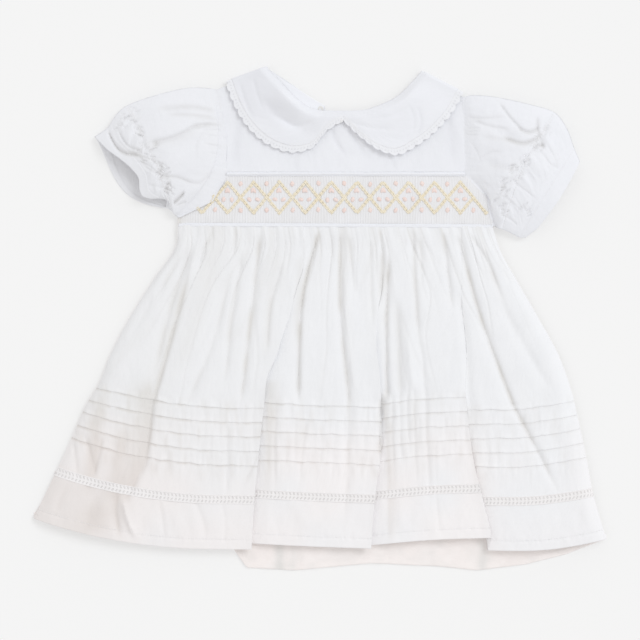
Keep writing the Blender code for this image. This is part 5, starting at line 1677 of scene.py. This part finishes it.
def short_folds(boxes, seed, strength):
    """Rows as in SLEEVE_FOLDS_LEFT for the small creases of the boxes."""
    rng = np.random.default_rng(seed)
    rows = []
    for low_x, low_y, high_x, high_y, count, slope in boxes:
        for k in range(count):
            x = rng.uniform(low_x, high_x)
            y = mix(low_y, high_y, (k + rng.uniform(0.1, 0.9)) / count)
            half = rng.uniform(1.3, 2.8)
            lean = half * (slope + rng.normal(0.0, 0.15))
            rows.append((x - half, y - lean, x, y + rng.normal(0.0, 0.2), x + half, y + lean,
                         strength * rng.uniform(0.6, 1.3), 0.9, 1.1, 0.5, 0.8, 0.8))
    return tuple(rows)


CROWN_POWER = 0.75         # how round a sleeve's section is above, and below
FLOOR_POWER = 0.35
RING_FRONT = 230           # points of a section above, and below
RING_BACK = 50
CRIMP_DEPTH = 1.2
SAG = (
    # share of the section, part of the sag there
    (0.00, 0.0), (0.18, 0.0), (0.35, -0.15), (0.49, -0.19), (0.61, -0.05), (0.70, 0.42),
    (0.75, 0.52), (0.81, 0.34), (0.92, -0.25), (0.96, -0.30), (1.00, 0.0),
)
BOW_SKEW = 1.3             # puts the most of the back's bow low on the section
CORNER_PULL = 1.7          # rounds the lower corner of the right cuff
# painted shade over the whole left sleeve
LEFT_SLEEVE_SHADE = 0.17
CUFF_START = CUFF_AT - 0.004


def sleeve_table(side, table):
    """Sections with the armhole seam as the first row, and their places from 0 to 1."""
    shoulder = armhole(side, 0.0)
    pit = armhole(side, 1.0)
    seam = (shoulder[0], shoulder[1], pit[0], pit[1], 0.0, 0.0, 9.0, 3.4, 0.0)
    rows = np.array((seam,) + table)
    return rows, np.arange(len(rows)) / (len(rows) - 1.0)


def sleeve_surface(side, table, folds, phase, ats):
    """Points of a sleeve at places from the armhole (0) to the cuff edge (1), and tint."""
    rows, places = sleeve_table(side, table)
    # the ring starts and ends under the sleeve, so that its join is hidden
    share = np.concatenate([np.linspace(0.0, 1.0, RING_FRONT),
                            np.linspace(1.0, 0.0, RING_BACK)[1:]])
    share = np.roll(share, RING_BACK // 2)
    is_front = np.roll(np.arange(len(share)) < RING_FRONT, RING_BACK // 2)
    share, is_front = np.append(share, share[0]), np.append(is_front, is_front[0])
    ats = np.asarray(ats, float)[:, None]
    top_x, top_y, low_x, low_y, bow_front, bow_back, rise, edge, sag = (
        curve(places, rows[:, k], ats) for k in range(9))
    top = np.stack([top_x, top_y], axis=-1)
    chord = np.stack([low_x, low_y], axis=-1) - top
    length = np.linalg.norm(chord, axis=2, keepdims=True)
    unit = chord / length
    outward = np.stack([unit[..., 1], -unit[..., 0]], axis=-1)
    outward = np.where(outward[..., :1] * side < 0, -outward, outward)
    bow = np.where(is_front,
                   bow_front * np.sin(math.pi * share) + sag * curve(*np.array(SAG).T, share),
                   bow_back * np.sin(math.pi * share ** BOW_SKEW))
    arch = np.maximum(np.sin(math.pi * share), 0.0)
    height = mix(edge, rise, arch ** CROWN_POWER)
    run = share * length[..., 0]
    hole_x, hole_y = armhole(side, share)
    spot = top + unit * run[..., None] + outward * bow[..., None]
    blend = smooth(1.0 - ats / places[1])
    x = mix(spot[..., 0], hole_x, blend)
    y = mix(spot[..., 1], hole_y, blend)
    # gathers at the armhole and at the shirring
    fine, wider, broad = (
        noise(run / width + phase, ats * steps, seed + phase)
        for width, steps, seed in ((2.2, 9.0, 101), (4.6, 8.0, 103), (12.0, 6.0, 105)))
    off = ats - SHIRRING_AT
    patch = np.clip(0.55 + 0.9 * noise(run / 9.0 + phase, 0.0, 111 + phase), 0.1, 1.0)
    crimp = 0.5 * patch * ridged(run / 2.2 + 0.35 * wider + phase, ats * 24.0, 107 + phase, 0.16)
    crimp = crimp * np.minimum(1.0, arch * 2.5) * np.exp(-((off + 0.02) / 0.045) ** 2)
    flare = smooth(off / 0.06) * smooth((CUFF_AT - 0.01 - ats) / 0.10)
    height = height - CRIMP_DEPTH * crimp + np.minimum(1.0, arch * 2.5) * (
        0.42 * fine * np.exp(-ats / 0.08) + 0.50 * wider * np.exp(-ats / 0.20)
        - 0.20 * np.exp(-(off / 0.030) ** 2) + 0.55 * wider * np.exp(-np.abs(off) / 0.09)
        + 0.55 * broad + flare * ((0.75 if side < 0 else 0.5) * wider + 0.3 * fine)
        # the cuff band stands up a little behind its seam
        + 0.2 * smooth((ats - CUFF_AT) / 0.015) - 0.2 * np.exp(-((ats - CUFF_AT) / 0.010) ** 2))
    creases, shades = ((SLEEVE_CREASES_LEFT, SLEEVE_SHADES_LEFT) if side < 0
                       else (SLEEVE_CREASES_RIGHT, SLEEVE_SHADES_RIGHT))
    inside = np.minimum(1.0, arch * 4.0)
    height = height - (fold_sum(x, y, folds) + crease_sum(x, y, creases)) * inside
    height = height + 0.10 * noise(x / 3.0, y / 3.0, 109 + phase)
    z = np.where(is_front, height, edge * (1.0 - arch ** FLOOR_POWER) + 0.5)
    # at the armhole the ring lies on the seam of the bodice
    crown = body_rise(hole_x, hole_y) + CLOTH
    crown = crown + 0.15 * noise(run[:1] / 2.1 + phase, 0.0, 101 + phase)[0]
    hole_z = np.where(is_front, crown, BACK_YOKE_TOP - 0.6)
    z = mix(z, hole_z, blend)
    ease = np.sin(np.clip(ats / places[1], 0.0, 1.0) * math.pi / 2.0)
    z = np.where(is_front, np.maximum(z, mix(hole_z, z, ease)), z)
    # painted shade: lines along the folds, broad shades, the crimps, the whole left sleeve, and
    # the sleeve's lower half, seen inside the cuff opening
    tint = fold_lines(x, y, folds) + crease_lines(x, y, creases) + fold_sum(x, y, shades)
    tint = tint * inside + 0.55 * crimp + (LEFT_SLEEVE_SHADE if side < 0 else 0.0)
    tint = np.where(is_front, tint, 0.25)
    # the sleeve's edge lies on the edge of the bodice, and runs into it
    lap = np.exp(-ats / 0.006) * is_front
    x = x - side * SEAM_LAP * lap
    held = (2.1 if side < 0 else 0.7) * smooth((share - 0.60) / 0.08)
    z = z + 0.35 * np.exp(-ats / 0.05) * is_front - (0.55 - held) * lap
    if side > 0:
        corner = CORNER_PULL * smooth((ats - 0.86) / 0.14) * smooth((share - 0.84) / 0.16)
        x, y = x - corner, y + corner
    return np.stack([x, y, z], axis=-1), tints(tint)


def sleeve_levels(count):
    """Places of the sleeve's rows, closer together at the shirring."""
    extra = SHIRRING_AT + np.array((-0.03, -0.018, -0.009, 0.0, 0.009, 0.018, 0.03))
    levels = [m for m in np.linspace(0.0, CUFF_START, count)
              if not np.any(np.abs(extra - m) < 0.004)]
    return np.array(sorted(levels + list(extra)))


def build_sleeve(side, shape, name, cuff_name):
    """A sleeve, and its cuff band, which is turned in at the edge."""
    def sheet(called, grid, tint):
        if side > 0:
            grid, tint = grid[:, ::-1], tint[:, ::-1]
        return single(called, grid, sleeve_cotton, None, tint)

    sleeve = sheet(name, *sleeve_surface(side, *shape, sleeve_levels(128)))
    grid, tint = sleeve_surface(side, *shape, np.linspace(CUFF_START, 1.0, 16))

    def drawn_in(row, inset):
        return row + (row.mean(axis=0) - row) * (inset / 30.0)

    inner = []
    for turn, inset in ((0.4, 0.35), (0.8, 0.9), (1.0, 1.2)):
        ring = drawn_in(grid[-1], inset)
        ring[:, :2] += (grid[-1] - grid[-2])[:, :2] * 0.12 * math.sin(turn * math.pi)
        inner.append(ring)
    inner += [drawn_in(grid[-back], 1.4) for back in (3, 8)]
    grid = np.concatenate([grid, inner])
    tint = np.concatenate([tint, np.repeat(tint[-1:], len(inner), axis=0)])
    return sleeve, sheet(cuff_name, grid, tint)


def build_sleeve_stitches(side, shape, name):
    """Rows of small stitches along the shirring and the edge of the cuff band."""
    heap = Heap()
    first = RING_BACK // 2 + 4
    for at, pitch, size in ((SHIRRING_AT - 0.006, 2.4, (1.5, 0.5, 0.5)),
                            (SHIRRING_AT + 0.008, 2.4, (1.5, 0.5, 0.5)),
                            (CUFF_AT + 0.02, 2.2, (1.3, 0.4, 0.35))):
        row = sleeve_surface(side, *shape, [at])[0][0]
        stitch_row(heap, row[first:first + RING_FRONT - 8], pitch, size, 0.1)
    return heap.build(name, stitch_cotton)


# The dress.
SIDES = (("left", -1), ("right", 1))
COLLARS = {-1: (COLLAR_LEFT, COLLAR_LEFT_UNDER), 1: (COLLAR_RIGHT, COLLAR_RIGHT_UNDER)}
SLEEVES = {
    # sections, folds and the seed that sets one sleeve's gathers apart from the other's
    -1: (SLEEVE_LEFT, SLEEVE_FOLDS_LEFT + short_folds(SHIRRING_LEFT, 21, 1.15), 0),
    1: (SLEEVE_RIGHT, SLEEVE_FOLDS_RIGHT + short_folds(SHIRRING_RIGHT, 22, 1.0), 7),
}
PIPINGS = {
    # y at the left and right; x of the cord's ends and of the allowance's; the
    # allowance's height and width
    "top": (PIPING_TOP_Y, PIPING_TOP_Y, -84.3, 129.5, -84.6, 129.9, 1.35, 4.0),
    "bottom": (BAND_BOTTOM_LEFT - PIPING_DROP, BAND_BOTTOM_RIGHT - PIPING_DROP,
               -127.4, 154.9, -127.6, 155.0, 1.3, 4.6),
}


def add(piece, slot, *nodes):
    """Attaches a piece to the root, and hides the nodes of the CAD part that it stands for."""
    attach(piece, "root")
    if nodes:
        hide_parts(*nodes)


add(build_skirt_front(), "cotton_skirt", "skirt_front")
add(build_front_lace(), "lace", "lace_insertion_front")
add(build_front_rails(), "cotton_skirt")
add(build_hem_front(), "cotton_hem", "hem_band_front")
add(build_hem_stitches(), "cotton_hem")
for made in build_back() + build_back_yokes():
    node = made.name.removesuffix("_cloth")
    add(made, "lace" if "lace" in node else "cotton_back", node)
add(build_yoke(), "cotton_yoke", "yoke_front")
add(build_band(), "cotton_band", "smocked_band")
for made in build_embroidery():
    add(made, "cotton_band")
for word, (left_y, right_y, left_x, right_x, _, _, _, _) in PIPINGS.items():
    add(build_piping(f"piping_{word}_cord", (left_x, left_y), (right_x, right_y)),
        "cotton_piping", f"piping_{word}")
for word, (left_y, right_y, _, _, left_x, right_x, lift, width) in PIPINGS.items():
    add(build_seam_allowance(f"seam_{word}", (left_x, left_y), (right_x, right_y), lift, width),
        "cotton_piping")
for word, side in SIDES:
    cloth, edging = build_collar(side, *COLLARS[side], f"collar_{word}_cloth",
                                 f"collar_lace_{word}_edging")
    add(cloth, "cotton_collar", f"collar_{word}")
    add(edging, "lace", f"collar_lace_{word}")
for word, side in SIDES:
    add(build_collar_stitches(side, COLLARS[side][0], f"collar_{word}_stitches"),
        "cotton_collar")
add(build_neck_binding(), "cotton_collar", "neck_binding")
add(build_button(), "pearl_button", "back_button")
for word, side in SIDES:
    sleeve, cuff = build_sleeve(side, SLEEVES[side], f"sleeve_{word}_cloth",
                                f"cuff_{word}_cloth")
    add(sleeve, "cotton_sleeve", f"sleeve_{word}")
    add(cuff, "cotton_sleeve", f"cuff_{word}")
for word, side in SIDES:
    add(build_sleeve_stitches(side, SLEEVES[side], f"sleeve_{word}_stitches"), "cotton_sleeve")

# Floor, light and camera.
WHITE_LIGHT = (1.0, 1.0, 1.0, 1.0)
FLOOR_GREY = (0.50, 0.50, 0.50, 1.0)
FLOOR_GLOW = 0.42
FLOOR_HALF = 6.0
FLOOR_Z = -0.0004
WORLD_STRENGTH = 0.80
WORLD_COLOUR = (1.0, 0.992, 0.985, 1.0)
KEY_STRENGTH = 0.80
KEY_COLOUR = (0.95, 0.98, 1.0)
KEY_FROM = (0.50, 0.42, 0.76)
KEY_WIDTH = 28.0           # degrees across the light
CAMERA_AT = (0.0001, -0.0017, 3.0)
scene = bpy.context.scene

paper = Nodes("floor_paper")
paper.look({"Base Color": FLOOR_GREY, "Emission Color": WHITE_LIGHT,
            "Emission Strength": FLOOR_GLOW, "Roughness": 1.0, "Specular IOR Level": 0.0})
floor_mesh = bpy.data.meshes.new("floor")
corners = ((-1, -1), (1, -1), (1, 1), (-1, 1))
floor_mesh.from_pydata([(x * FLOOR_HALF, y * FLOOR_HALF, 0.0) for x, y in corners], [],
                       [(0, 1, 2, 3)])
floor_mesh.materials.append(paper.material)
floor = bpy.data.objects.new("floor", floor_mesh)
floor.location.z = FLOOR_Z
scene.collection.objects.link(floor)

world = bpy.data.worlds.new("studio")
world.use_nodes = True
backdrop = world.node_tree.nodes["Background"]
backdrop.inputs["Color"].default_value = WORLD_COLOUR
backdrop.inputs["Strength"].default_value = WORLD_STRENGTH
scene.world = world
key = bpy.data.lights.new("key", "SUN")
key.energy = KEY_STRENGTH
key.color = KEY_COLOUR
key.angle = math.radians(KEY_WIDTH)
key_object = bpy.data.objects.new("key", key)
scene.collection.objects.link(key_object)
key_object.rotation_euler = Vector(KEY_FROM).to_track_quat("Z", "Y").to_euler()

camera_data = bpy.data.cameras.new("camera")
camera_data.sensor_width = 36.0
camera_data.lens = 187.5
camera_data.clip_end = 20.0
camera = bpy.data.objects.new("camera", camera_data)
camera.location = CAMERA_AT
scene.collection.objects.link(camera)
scene.camera = camera
scene.view_settings.view_transform = "Standard"
